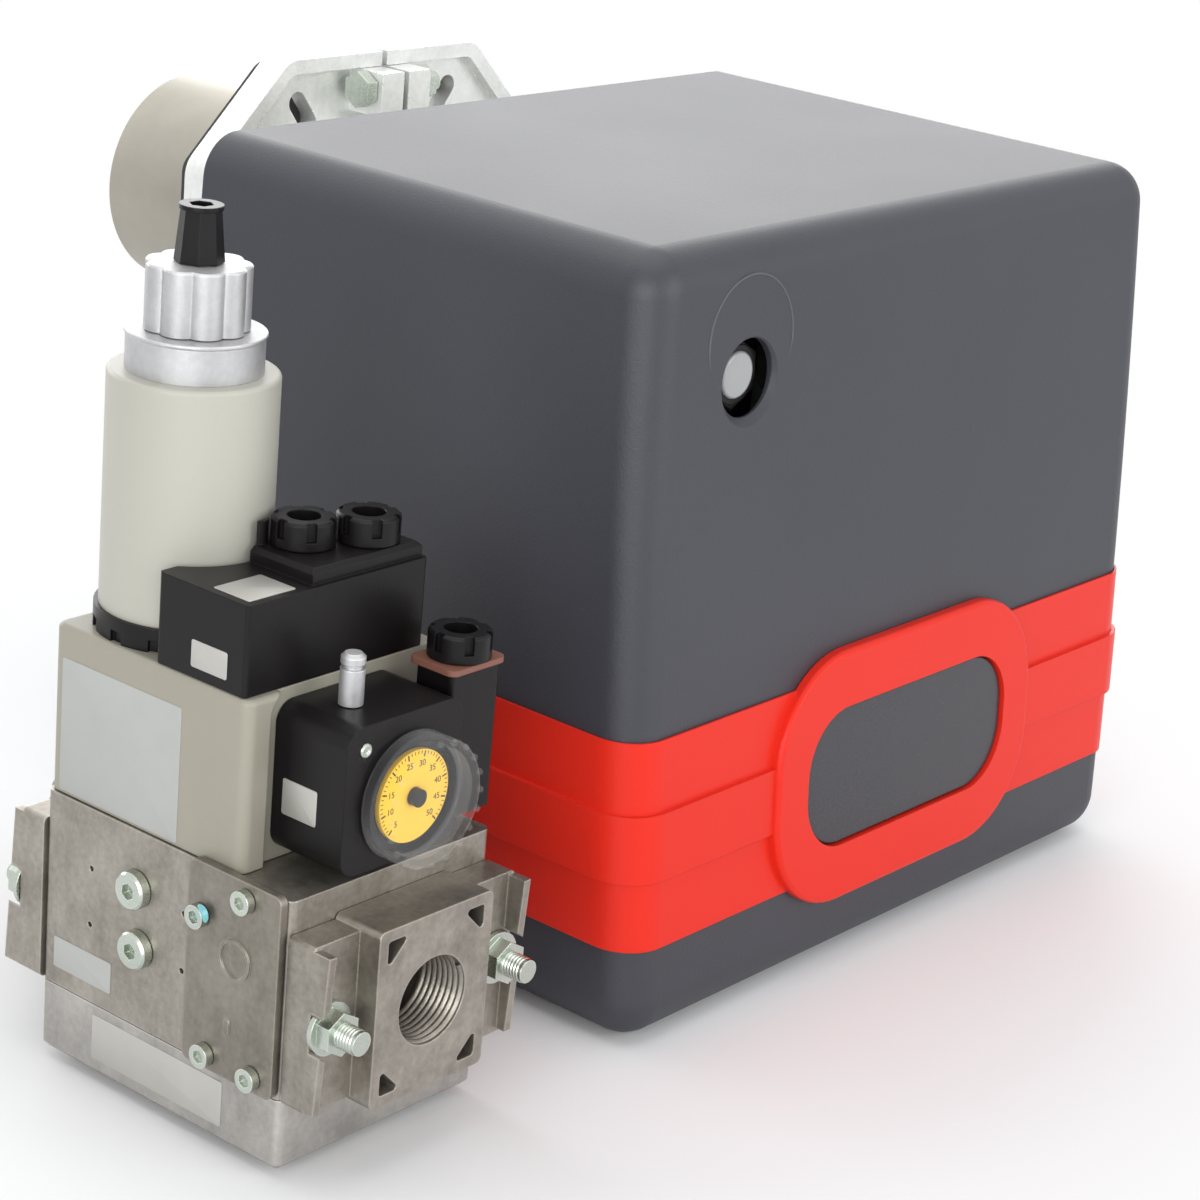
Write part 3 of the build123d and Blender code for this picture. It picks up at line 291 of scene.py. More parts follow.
@dataclass(frozen=True)
class CastMetal:
    """Raw die-cast or sand-cast metal with a mottled skin."""

    name: str
    colour: Colour
    stain: Colour
    roughness: float = 0.42
    pit: float = 900.0
    pit_depth: float = 0.0002
    metallic: float = 0.85
    blotch_scale: float = 38.0
    flow_scale: float = 120.0
    flow_stretch: tuple[float, float, float] = (1.0, 1.0, 0.35)
    fleck_scale: float = 420.0
    edge_width: float = 0.0012
    edge_gain: float = 1.35
    edge_round: float = 0.0006

    def make(self) -> bpy.types.Material:
        """Builds the material."""
        shader = Shader(self.name)
        blotch = shader.noise(self.blotch_scale, 5.0, 0.65)
        flow = shader.noise(self.flow_scale, 3.0, 0.6, shader.stretch(self.flow_stretch))
        grain = shader.noise(self.pit, 3.0, 0.6)
        edge = shader.edges(self.edge_width)
        fleck = shader.noise(self.fleck_scale, 2.0, 0.6)
        mix = (blotch * 1.9 + flow * 1.0 + (fleck - 0.5) * 0.9 - 1.0).held()
        base = shader.blend(self.stain, self.colour, mix)
        bright = tuple(min(1.0, c * self.edge_gain) for c in self.colour)
        colour = shader.blend(base, bright, (edge * 0.6 + (grain - 0.62) * 0.5).held())
        rough = self.roughness + (blotch - 0.5) * 0.3 - edge * 0.12 + (grain - 0.5) * 0.1
        return shader.done(Base_Color=colour, Metallic=self.metallic, Roughness=rough.held(),
                           Normal=shader.bump(grain * 0.7 + flow * 0.3, self.pit_depth, 0.7, self.edge_round))


@dataclass(frozen=True)
class WorkedMetal:
    """Turned, rolled, plated or drawn metal with fine lines along one direction."""

    name: str
    colour: Colour
    tint: Colour
    lines: tuple[float, float, float] = (1.0, 1.0, 1.0)
    fineness: float = 300.0
    roughness: float = 0.3
    depth: float = 0.00003
    metallic: float = 1.0
    haze_scale: float = 26.0
    edge_width: float = 0.0008
    edge_round: float = 0.0004

    def make(self) -> bpy.types.Material:
        """Builds the material."""
        shader = Shader(self.name)
        brushed = shader.noise(self.fineness, 3.0, 0.7, shader.stretch(self.lines))
        haze = shader.noise(self.haze_scale, 4.0, 0.6)
        edge = shader.edges(self.edge_width)
        colour = shader.blend(self.tint, self.colour, (haze * 1.3 - 0.2 + edge * 0.4).held())
        rough = self.roughness + (haze - 0.5) * 0.16 + (brushed - 0.5) * 0.12
        return shader.done(Base_Color=colour, Metallic=self.metallic, Roughness=rough.held(),
                           Normal=shader.bump(brushed, self.depth, 0.5, self.edge_round))


@dataclass(frozen=True)
class Painted:
    """Powder coat or enamel with a faint orange peel and rubbed edges."""

    name: str
    colour: Colour
    bare: Colour = (0.5, 0.48, 0.44)
    roughness: float = 0.42
    peel: float = 420.0
    wear: float = 0.25
    peel_depth: float = 0.00012
    dirt_scale: float = 22.0
    dulling: float = 0.88
    edge_width: float = 0.0009
    edge_round: float = 0.0008

    def make(self) -> bpy.types.Material:
        """Builds the material."""
        shader = Shader(self.name)
        peel = shader.noise(self.peel, 2.0)
        dirt = shader.noise(self.dirt_scale, 5.0, 0.6)
        edge = shader.edges(self.edge_width)
        dull = tuple(c * self.dulling for c in self.colour)
        skin = shader.blend(dull, self.colour, (dirt * 1.4 - 0.1).held())
        colour = shader.blend(skin, self.bare, (edge * dirt * self.wear * 2.0).held())
        return shader.done(Base_Color=colour, Roughness=(self.roughness + (dirt - 0.5) * 0.14).held(),
                           Normal=shader.bump(peel, self.peel_depth, 0.5, self.edge_round))


@dataclass(frozen=True)
class ClearMoulding:
    """Clear plastic with faint moulding ripples."""

    name: str
    colour: Colour = (0.62, 0.63, 0.63)
    roughness: float = 0.05
    solid: float = 0.015
    rim_solid: float = 0.45
    rim_blend: float = 0.35
    coat: float = 0.6
    ripple_scale: float = 160.0
    ripple_depth: float = 0.0001

    def make(self) -> bpy.types.Material:
        """Builds the material."""
        shader = Shader(self.name)
        ripple = shader.noise(self.ripple_scale, 2.0)
        rim = shader.node("LayerWeight", inputs={"Blend": self.rim_blend}, output="Facing")
        return shader.done(Base_Color=self.colour, Roughness=self.roughness, Coat_Weight=self.coat,
                           Alpha=(self.solid + rim * rim * self.rim_solid).held(),
                           Normal=shader.bump(ripple, self.ripple_depth, 0.3))


@dataclass(frozen=True)
class PrintedFoil:
    """Paper or foil sticker, bare, with faint creases."""

    name: str
    colour: Colour
    roughness: float = 0.5
    metallic: float = 0.0
    crease_scale: float = 70.0
    fibre_scale: float = 1500.0
    relief: float = 0.0001
    fading: float = 0.9

    def make(self) -> bpy.types.Material:
        """Builds the material."""
        shader = Shader(self.name)
        crease = shader.noise(self.crease_scale, 4.0, 0.55)
        fibre = shader.noise(self.fibre_scale, 2.0)
        worn = tuple(c * self.fading for c in self.colour)
        colour = shader.blend(worn, self.colour, (crease * 1.5 - 0.2).held())
        return shader.done(Base_Color=colour, Metallic=self.metallic,
                           Roughness=(self.roughness + (crease - 0.5) * 0.2).held(),
                           Normal=shader.bump(crease * 0.7 + fibre * 0.3, self.relief, 0.4))


class Finish(Enum):
    """Every finish on the burner; CAD pieces take theirs by the slot of the same name."""

    COVER_PLASTIC = Moulded("cover_plastic", (0.032, 0.033, 0.042), 0.47, 1100.0, 0.00016, 0.0, 0.2)
    BAND_RED = Moulded("band_red", (0.68, 0.022, 0.010), 0.36, 700.0, 0.00003, 0.0, 0.03, 0.22)
    COVER_WITNESS = Moulded("cover_witness", (0.085, 0.087, 0.094), 0.45, 900.0, 0.00003)
    BADGE_BLACK = Moulded("badge_black", (0.030, 0.030, 0.036), 0.26, 900.0, 0.00003, 0.1, 0.03, 0.4)
    BLACK_PLASTIC = Moulded("black_plastic", (0.0065, 0.0055, 0.006), 0.34, 1200.0, 0.00006, 0.0, 0.1, 0.22)
    BUTTON_GREY = Moulded("button_grey", (0.30, 0.31, 0.31), 0.16, 500.0, 0.00002, 0.8, 0.02)
    CERAMIC_WHITE = Moulded("ceramic_white", (0.80, 0.79, 0.75), 0.2, 400.0, 0.00002, 0.6, 0.02)
    GASKET_BLACK = Moulded("gasket_black", (0.03, 0.03, 0.03), 0.8, 600.0, 0.0002)
    GASKET_BROWN = Moulded("gasket_brown", (0.19, 0.075, 0.05), 0.6, 500.0, 0.0001)
    DIAL_YELLOW = Moulded("dial_yellow", (0.93, 0.56, 0.03), 0.5, 900.0, 0.00002, 0.0, 0.03)
    CAN_CREAM = Moulded("can_cream", (0.42, 0.41, 0.355), 0.42, 800.0, 0.00005, 0.0, 0.025)
    FLANGE_CASTING = CastMetal("flange_casting", (0.88, 0.89, 0.87), (0.72, 0.73, 0.71), 0.4, 700.0,
                               0.00025, 0.65)
    VALVE_CASTING = CastMetal("valve_casting", (0.41, 0.38, 0.335), (0.235, 0.215, 0.185))
    PLATE_CASTING = CastMetal("plate_casting", (0.31, 0.285, 0.245), (0.19, 0.172, 0.147))
    LID_CASTING = CastMetal("lid_casting", (0.50, 0.48, 0.455), (0.33, 0.315, 0.295))
    TUBE_STEEL = WorkedMetal("tube_steel", (0.43, 0.405, 0.35), (0.32, 0.30, 0.255), (1.0, 0.06, 1.0), 500.0,
                             0.42, 0.00003, 0.75)
    ZINC_PLATED = WorkedMetal("zinc_plated", (0.66, 0.70, 0.64), (0.42, 0.47, 0.41), fineness=700.0,
                              roughness=0.28)
    GALVANISED = WorkedMetal("galvanised", (0.62, 0.63, 0.64), (0.45, 0.46, 0.48), fineness=200.0,
                             roughness=0.36)
    MACHINED_STEEL = WorkedMetal("machined_steel", (0.56, 0.56, 0.57), (0.4, 0.4, 0.41), (0.05, 1.0, 1.0),
                                 600.0, 0.24)
    TURNED_ALUMINIUM = CastMetal("turned_aluminium", (0.53, 0.53, 0.535), (0.42, 0.42, 0.425), 0.46, 1600.0,
                                 0.00014, 0.7)
    CHROME_METAL = WorkedMetal("chrome_metal", (0.72, 0.71, 0.70), (0.5, 0.49, 0.48), (0.1, 0.1, 1.0),
                               900.0, 0.14)
    PIPE_STEEL = Painted("pipe_steel", (0.055, 0.056, 0.06), (0.3, 0.3, 0.3), 0.38)
    MOTOR_GREY = Painted("motor_grey", (0.075, 0.08, 0.085), (0.3, 0.3, 0.3), 0.42)
    CREAM_PAINT = Painted("cream_paint", (0.315, 0.298, 0.24), (0.55, 0.53, 0.46), 0.44)
    CLEAR_WINDOW = ClearMoulding("clear_window")
    LABEL_WHITE = PrintedFoil("label_white", (0.40, 0.405, 0.385))
    LABEL_SILVER = PrintedFoil("label_silver", (0.50, 0.49, 0.455), 0.42, 0.5)
    DIAL_INK = PrintedFoil("dial_ink", (0.02, 0.018, 0.015), 0.5)
    PAINT_DAB = Moulded("paint_dab", (0.16, 0.45, 0.49), 0.35, 300.0, 0.0002, 0.3)


@dataclass
class Palette:
    """Materials made so far, one for each finish."""

    made: dict[Finish, bpy.types.Material] = field(default_factory=dict)

    def get(self, finish: Finish) -> bpy.types.Material:
        """The material of a finish, made at its first use."""
        if finish not in self.made:
            self.made[finish] = finish.value.make()
        return self.made[finish]

    def dress_frame(self) -> None:
        """Gives every CAD piece the finish that its slot names, or its own shade of it."""
        own = {"valve_side_plate": Finish.PLATE_CASTING, "valve_bottom_cover": Finish.LID_CASTING,
               "test_nipple": Finish.TURNED_ALUMINIUM}
        for part in frame["record"]["subparts"]:
            finish = own.get(part["node"], Finish[part["material_slot"].upper()])
            node = frame["nodes"][part["node"]]
            node.data.materials.clear()
            node.data.materials.append(self.get(finish))
            LOG.info("%s is finished in %s", part["node"], finish.value.name)


PALETTE = Palette()


# --------------------------------------------------------------------------- making pieces
WELD = 1e-7  # points closer than this become one
FLAT = 1e-8  # faces thinner than this are dissolved
POINTED = 1e-9  # sides shorter than this make no face


@dataclass(frozen=True)
class Seat:
    """A place on the burner: an origin, the outward direction and the upward one."""

    origin: Vector
    out: Vector
    up: Vector = UP

    def matrix(self) -> Matrix:
        """Takes local x (right), y (up) and z (out) to the burner's frame."""
        out = self.out.normalized()
        right = self.up.cross(out).normalized()
        up = out.cross(right)
        turned = Matrix((right, up, out)).transposed().to_4x4()
        return Matrix.Translation(self.origin) @ turned


@dataclass(frozen=True)
class Piece:
    """What a finished piece is called, made of and rides on."""

    name: str
    finish: Finish
    body: str = "burner"
    smooth_deg: float = 35.0

    def from_bmesh(self, mesh: bmesh.types.BMesh, seat: Optional[Seat] = None) -> bpy.types.Object:
        """Turns a bmesh into the piece.

        Args:
            mesh: the geometry, in the seat's local axes if one is given.
            seat: where it goes.

        Returns:
            The Blender object.
        """
        bmesh.ops.remove_doubles(mesh, verts=mesh.verts, dist=WELD)
        bmesh.ops.recalc_face_normals(mesh, faces=mesh.faces)
        data = bpy.data.meshes.new(self.name)
        mesh.to_mesh(data)
        mesh.free()
        if seat is not None:
            data.transform(seat.matrix())
        data.shade_smooth()
        data.set_sharp_from_angle(angle=math.radians(self.smooth_deg))
        made = bpy.data.objects.new(self.name, data)
        bpy.context.scene.collection.objects.link(made)
        data.materials.append(PALETTE.get(self.finish))
        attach(made, self.body)
        LOG.info("made %s on %s", self.name, self.body)
        return made


def rounded_outline(width: float, height: float, corner: float, steps: int = 6) -> list[Point]:
    """Outline of a rounded rectangle about the origin.

    Args:
        width: along x.
        height: along y.
        corner: radius.
        steps: segments in each corner.

    Returns:
        The points, counter-clockwise.
    """
    points = []
    for quarter, (sx, sy) in enumerate(((1, 1), (-1, 1), (-1, -1), (1, -1))):
        cx, cy = sx * (width / 2 - corner), sy * (height / 2 - corner)
        for k in range(steps + 1):
            turn = math.radians(90 * (quarter + k / steps))
            points.append((cx + corner * math.cos(turn), cy + corner * math.sin(turn)))
    return points


def stack(layers: Iterable[tuple[Sequence[Point], float]]) -> bmesh.types.BMesh:
    """Skins outlines of the same point count, one above the other, and caps both ends.

    Args:
        layers: each an outline and its height.

    Returns:
        The geometry.
    """
    mesh = bmesh.new()
    rings = [[mesh.verts.new((x, y, z)) for x, y in outline] for outline, z in layers]
    for low, high in zip(rings, rings[1:]):
        for k in range(len(low)):
            mesh.faces.new((low[k - 1], low[k], high[k], high[k - 1]))
    mesh.faces.new(rings[0])
    mesh.faces.new(rings[-1])
    return mesh


def lathe(profile: Sequence[Point], steps: int) -> bmesh.types.BMesh:
    """Turns a profile of (radius, height) points round the z axis.

    Args:
        profile: the points, first to last.
        steps: facets round the axis.

    Returns:
        The geometry.
    """
    mesh = bmesh.new()
    rings = []
    for radius, height in profile:
        turns = [2 * math.pi * k / steps for k in range(steps)]
        rings.append([mesh.verts.new((radius * math.cos(a), radius * math.sin(a), height)) for a in turns])
    for low, high in zip(rings, rings[1:]):
        for k in range(steps):
            mesh.faces.new((low[k - 1], low[k], high[k], high[k - 1]))
    return mesh


def helix_thread(radius: float, depth: float, pitch: float, length: float, steps: int) -> bmesh.types.BMesh:
    """A screw thread's skin about the z axis.

    Args:
        radius: the bore's own radius, or a stud's root radius.
        depth: how far the thread stands out from it; negative stands in, from a bore's wall.
        pitch: rise in one turn.
        length: threaded length.
        steps: facets in one turn.

    Returns:
        The geometry.
    """
    mesh = bmesh.new()
    count = int(length / pitch * steps)
    rows = []
    flank = 0.36
    shape = ((0.0, 0.0), (flank, depth), (1.0 - flank, depth), (1.0, 0.0))
    for k in range(count + 1):
        turn = 2 * math.pi * k / steps
        rise = pitch * k / steps
        row = []
        for place, out in shape:
            z = min(max(rise + (place - 1.0) * pitch, 0.0), length)
            reach = radius + out
            row.append(mesh.verts.new((reach * math.cos(turn), reach * math.sin(turn), z)))
        rows.append(row)
    for low, high in zip(rows, rows[1:]):
        for k in range(len(shape) - 1):
            if any((row[k].co - row[k + 1].co).length > POINTED for row in (low, high)):
                mesh.faces.new((low[k], low[k + 1], high[k + 1], high[k]))
    bmesh.ops.dissolve_degenerate(mesh, edges=mesh.edges, dist=FLAT)
    return mesh


def middle(node: str) -> Vector:
    """Middle of a CAD piece's box."""
    low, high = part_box(node)
    return (Vector(low) + Vector(high)) / 2


# --------------------------------------------------------------------------- sub-assemblies
@dataclass(frozen=True)
class Sticker:
    """A bare label's look, its size and its place on the box round a CAD piece.

    Each part of the place is a fraction of the box, from its low side to its high side, and an
    offset from there in millimetres.
    """

    name: str
    finish: Finish
    box: tuple[Sequence[float], Sequence[float]]
    size_mm: tuple[float, float]
    x: tuple[float, float] = (0.0, 0.0)
    y: tuple[float, float] = (0.0, 0.0)
    z: tuple[float, float] = (0.0, 0.0)
    out: Vector = LEFT
    up: Vector = UP
    thickness: float = 0.25 * MM
    corner: float = 0.8 * MM
    softened: float = 0.6

    def seat(self) -> Seat:
        """The label's middle on the surface."""
        ways = zip(*self.box, (self.x, self.y, self.z))
        return Seat(Vector([a + (b - a) * part + offset * MM for a, b, (part, offset) in ways]),
                    self.out, self.up)

    def build(self) -> None:
        """Makes the label, flat and with a softened edge."""
        width, height = (side * MM for side in self.size_mm)
        outline = rounded_outline(width, height, self.corner)
        inner = rounded_outline(width - self.thickness, height - self.thickness, self.corner)
        layers = [(outline, 0.0), (outline, self.thickness * self.softened), (inner, self.thickness)]
        Piece(self.name, self.finish).from_bmesh(stack(layers), self.seat())


@dataclass
class Stickers:
    """Bare labels on the valve and its boxes."""

    def build(self) -> None:
        """Makes every label."""
        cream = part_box("valve_upper_housing")
        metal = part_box("valve_body")
        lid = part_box("valve_bottom_cover")
        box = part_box("connector_box")
        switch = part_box("pressure_switch")
        white, silver = Finish.LABEL_WHITE, Finish.LABEL_SILVER
        for sticker in (Sticker("rating_label", white, cream, (56, 46), y=(0.5, 12), z=(0.5, -5)),
                        Sticker("small_label", white, metal, (28, 11), y=(1, -20), z=(0, 12)),
                        Sticker("base_label", silver, lid, (62, 16), y=(0.5, 0), z=(0.5, 1)),
                        Sticker("box_side_label", silver, box, (16, 9), y=(0, 16), z=(0, 8)),
                        Sticker("box_top_label", silver, box, (20, 16), (0, 13), (0, 11), (0, 30), UP, BACK),
                        Sticker("switch_label", silver, switch, (15, 12), y=(1, -12), z=(0, 24))):
            sticker.build()


@dataclass
class InletThread:
    """Screw thread in the gas inlet."""

    pitch: float = 2.31 * MM
    depth: float = 0.9 * MM
    chamfer: float = 0.5 * MM
    steps: int = 56

    def build(self) -> None:
        """Cuts the thread, a chamfer's length short of the bore at either end."""
        mounts = {mount["name"]: mount for mount in frame["record"]["mounts"]}
        inlet = mounts["gas_inlet"]
        radius = inlet["dims"]["r_mm"] * MM
        length = inlet["dims"]["length_mm"] * MM
        low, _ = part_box("inlet_flange")
        x, _, z = inlet["pos_m"]
        mesh = helix_thread(radius, -self.depth, self.pitch, length - 2 * self.chamfer, self.steps)
        seat = Seat(Vector((x, low[1] + length - self.chamfer, z)), FRONT)
        Piece("inlet_thread", Finish.VALVE_CASTING, smooth_deg=50).from_bmesh(mesh, seat)


@dataclass
class HoodMarks:
    """Fine moulded line on the hood, round the reset button's upper side."""

    radius: float = 23.0 * MM
    wire: float = 0.4 * MM
    rise: float = 13.0 * MM
    recess: float = 5.0 * MM
    half_arc_deg: float = 118.0
    lean: float = math.atan2(20.0, 280.0)
    steps: int = 60
    sides: int = 8
    taper_steps: int = 8
    tip: float = 0.15
    flatness: float = 0.6

    def build(self) -> None:
        """Makes the raised line as an arc open downwards."""
        hole = middle("reset_button")
        face_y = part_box("reset_button")[0][1] - self.recess
        out = Vector((0, -math.cos(self.lean), math.sin(self.lean)))
        origin = Vector((hole.x, face_y + self.rise * math.tan(self.lean), hole.z + self.rise))
        mesh = bmesh.new()
        rings = []
        for k in range(self.steps + 1):
            turn = math.radians(90 - self.half_arc_deg + 2 * self.half_arc_deg * k / self.steps)
            spoke = Vector((math.cos(turn), math.sin(turn), 0.0))
            wire = self.wire * min(1.0, self.tip + min(k, self.steps - k) / self.taper_steps)
            rings.append([mesh.verts.new(spoke * (self.radius + wire * math.cos(a))
                                         + Vector((0, 0, wire * self.flatness * math.sin(a))))
                          for a in (2 * math.pi * j / self.sides for j in range(self.sides))])
        for low, high in zip(rings, rings[1:]):
            for j in range(self.sides):
                mesh.faces.new((low[j - 1], low[j], high[j], high[j - 1]))
        mesh.faces.new(rings[0])
        mesh.faces.new(rings[-1])
        Piece("moulded_arc", Finish.COVER_WITNESS, "cover", 80).from_bmesh(mesh, Seat(origin, out))


@dataclass
class SwitchTrim:
    """Small fittings of the pressure switch: its corner screw, the nubs round its clear cover."""

    face_step: float = 5 * MM
    corner_inset: float = 8 * MM
    screw_profile_mm: tuple[Point, ...] = ((0.0, 0.3), (1.0, 0.3), (1.2, 0.8), (2.0, 0.8), (2.4, 0.4),
                                           (2.4, 0.0))
    screw_steps: int = 20
    nubs: int = 20
    nub_sides: int = 10
    nub_radius: float = 1.1 * MM
    nub_top_radius: float = 0.9 * MM
    nub_height: float = 1.2 * MM
    nub_rise: float = 0.5 * MM

    def screw(self) -> None:
        """Sets the screw in the upper left corner of the box's face."""
        low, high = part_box("pressure_switch")
        profile = [(radius * MM, height * MM) for radius, height in self.screw_profile_mm]
        corner = Vector((low[0] + self.corner_inset, low[1] + self.face_step, high[2] - self.corner_inset))
        Piece("switch_screw", Finish.ZINC_PLATED).from_bmesh(lathe(profile, self.screw_steps),
                                                             Seat(corner, FRONT))

    def rim(self) -> None:
        """Sets the nubs round the rim of the clear cover."""
        low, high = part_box("dial_window")
        centre = middle("dial_window")
        radius = (high[0] - low[0]) / 2 - self.nub_radius
        mesh = bmesh.new()
        for k in range(self.nubs):
            turn = 2 * math.pi * k / self.nubs
            made = bmesh.ops.create_cone(mesh, cap_ends=True, segments=self.nub_sides, depth=self.nub_height,
                                         radius1=self.nub_radius, radius2=self.nub_top_radius)
            place = Vector((radius * math.cos(turn), radius * math.sin(turn), self.nub_rise))
            bmesh.ops.translate(mesh, verts=made["verts"], vec=place)
        Piece("dial_rim_nubs", Finish.CLEAR_WINDOW).from_bmesh(
            mesh, Seat(Vector((centre.x, low[1], centre.z)), FRONT))

    def build(self) -> None:
        """Makes the screw and the nubs."""
        self.screw()
        self.rim()


@dataclass
class ValveTrim:
    """Marking paint and stud threads on the valve."""

    stud_root: float = 3.98 * MM
    stud_depth: float = 0.35 * MM
    stud_pitch: float = 1.25 * MM
    stud_reach: float = 9.0 * MM
    stud_steps: int = 24
    run_out: float = 0.6 * MM
    inlet_tail: float = 8.0 * MM
    outlet_tail: float = 4.0 * MM
    dab_from_screws: Vector = Vector((1.6, -6.2, -14.4)) * MM
    dab_profile_mm: tuple[Point, ...] = ((0.0, 1.5), (1.5, 1.4), (2.6, 0.8), (3.1, 0.0))
    dab_steps: int = 18

    def paint(self) -> None:
        """Drops a dab of marking paint beside the upper side-plate screw."""
        low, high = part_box("side_plate_screws")
        dab = Vector((low[0], high[1], high[2])) + self.dab_from_screws
        profile = [(radius * MM, height * MM) for radius, height in self.dab_profile_mm]
        Piece("paint_dab", Finish.PAINT_DAB).from_bmesh(lathe(profile, self.dab_steps), Seat(dab, LEFT))

    def studs(self) -> None:
        """Rolls the threads of the four stud ends."""
        for node, way, tail in (("inlet_studs", FRONT, self.inlet_tail),
                                ("outlet_studs", BACK, self.outlet_tail)):
            low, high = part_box(node)
            tip = low[1] if way is FRONT else high[1]
            for side, x in (("left", low[0] + self.stud_reach), ("right", high[0] - self.stud_reach)):
                seat = Seat(Vector((x, tip - way.y * tail, middle(node).z)), way)
                mesh = helix_thread(self.stud_root, self.stud_depth, self.stud_pitch, tail - self.run_out,
                                    self.stud_steps)
                Piece(f"{node}_thread_{side}", Finish.ZINC_PLATED, smooth_deg=50).from_bmesh(mesh, seat)

    def build(self) -> None:
        """Makes every small piece on the valve."""
        self.paint()
        self.studs()


@dataclass
class ScaleDisc:
    """Ticks and plain numbers printed on the pressure dial."""

    numbers: tuple[int, ...] = (5, 10, 15, 20, 25, 30, 35, 40, 45, 50)
    ticks_between: int = 5
    start_deg: float = 225.0
    sweep_deg: float = 270.0
    outer: float = 0.97
    long_inner: float = 0.84
    short_inner: float = 0.9
    long_half_width: float = 0.28 * MM
    short_half_width: float = 0.14 * MM
    tick_height: float = 0.06 * MM
    number_ring: float = 0.7
    number_size: float = 3.0 * MM
    number_height: float = 0.03 * MM

    def turn(self, place: int, last: int) -> float:
        """Angle of one of last + 1 marks spread over the sweep."""
        return math.radians(self.start_deg - self.sweep_deg * place / last)

    def ticks(self, radius: float, seat: Seat) -> None:
        """Prints the ticks, a long one at each number.

        Args:
            radius: the dial's radius.
            seat: the middle of its face.
        """
        mesh = bmesh.new()
        last = (len(self.numbers) - 1) * self.ticks_between
        rise = Vector((0, 0, self.tick_height))
        for k in range(last + 1):
            turn = self.turn(k, last)
            long = k % self.ticks_between == 0
            along = Vector((math.cos(turn), math.sin(turn), 0))
            half = self.long_half_width if long else self.short_half_width
            across = Vector((-along.y, along.x, 0)) * half
            near = along * (radius * (self.long_inner if long else self.short_inner))
            far = along * (radius * self.outer)
            corners = [near - across, far - across, far + across, near + across]
            low_ring = [mesh.verts.new(c) for c in corners]
            top_ring = [mesh.verts.new(c + rise) for c in corners]
            mesh.faces.new(top_ring)
            for j in range(len(corners)):
                mesh.faces.new((low_ring[j - 1], low_ring[j], top_ring[j], top_ring[j - 1]))
        Piece("dial_ticks", Finish.DIAL_INK, "pressure_setting").from_bmesh(mesh, seat)

    def number(self, number: int, place: Matrix) -> None:
        """Prints one number.

        Args:
            number: what it says.
            place: its middle, in the burner's frame.
        """
        words = bpy.data.curves.new(f"dial_number_{number}", "FONT")
        words.body = str(number)
        words.size = self.number_size
        words.align_x = "CENTER"
        words.align_y = "CENTER"
        words.extrude = self.number_height
        made = bpy.data.objects.new(f"dial_number_{number}", words)
        bpy.context.scene.collection.objects.link(made)
        made.matrix_world = place
        words.materials.append(PALETTE.get(Finish.DIAL_INK))
        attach(made, "pressure_setting")
        LOG.info("made dial number %d", number)

    def build(self) -> None:
        """Prints the scale."""
        low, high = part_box("pressure_dial")
        centre = middle("pressure_dial")
        radius = (high[0] - low[0]) / 2
        seat = Seat(Vector((centre.x, low[1], centre.z)), FRONT)
        self.ticks(radius, seat)
        ring = radius * self.number_ring
        for k, number in enumerate(self.numbers):
            turn = self.turn(k, len(self.numbers) - 1)
            place = Matrix.Translation((ring * math.cos(turn), ring * math.sin(turn), self.number_height))
            self.number(number, seat.matrix() @ place)


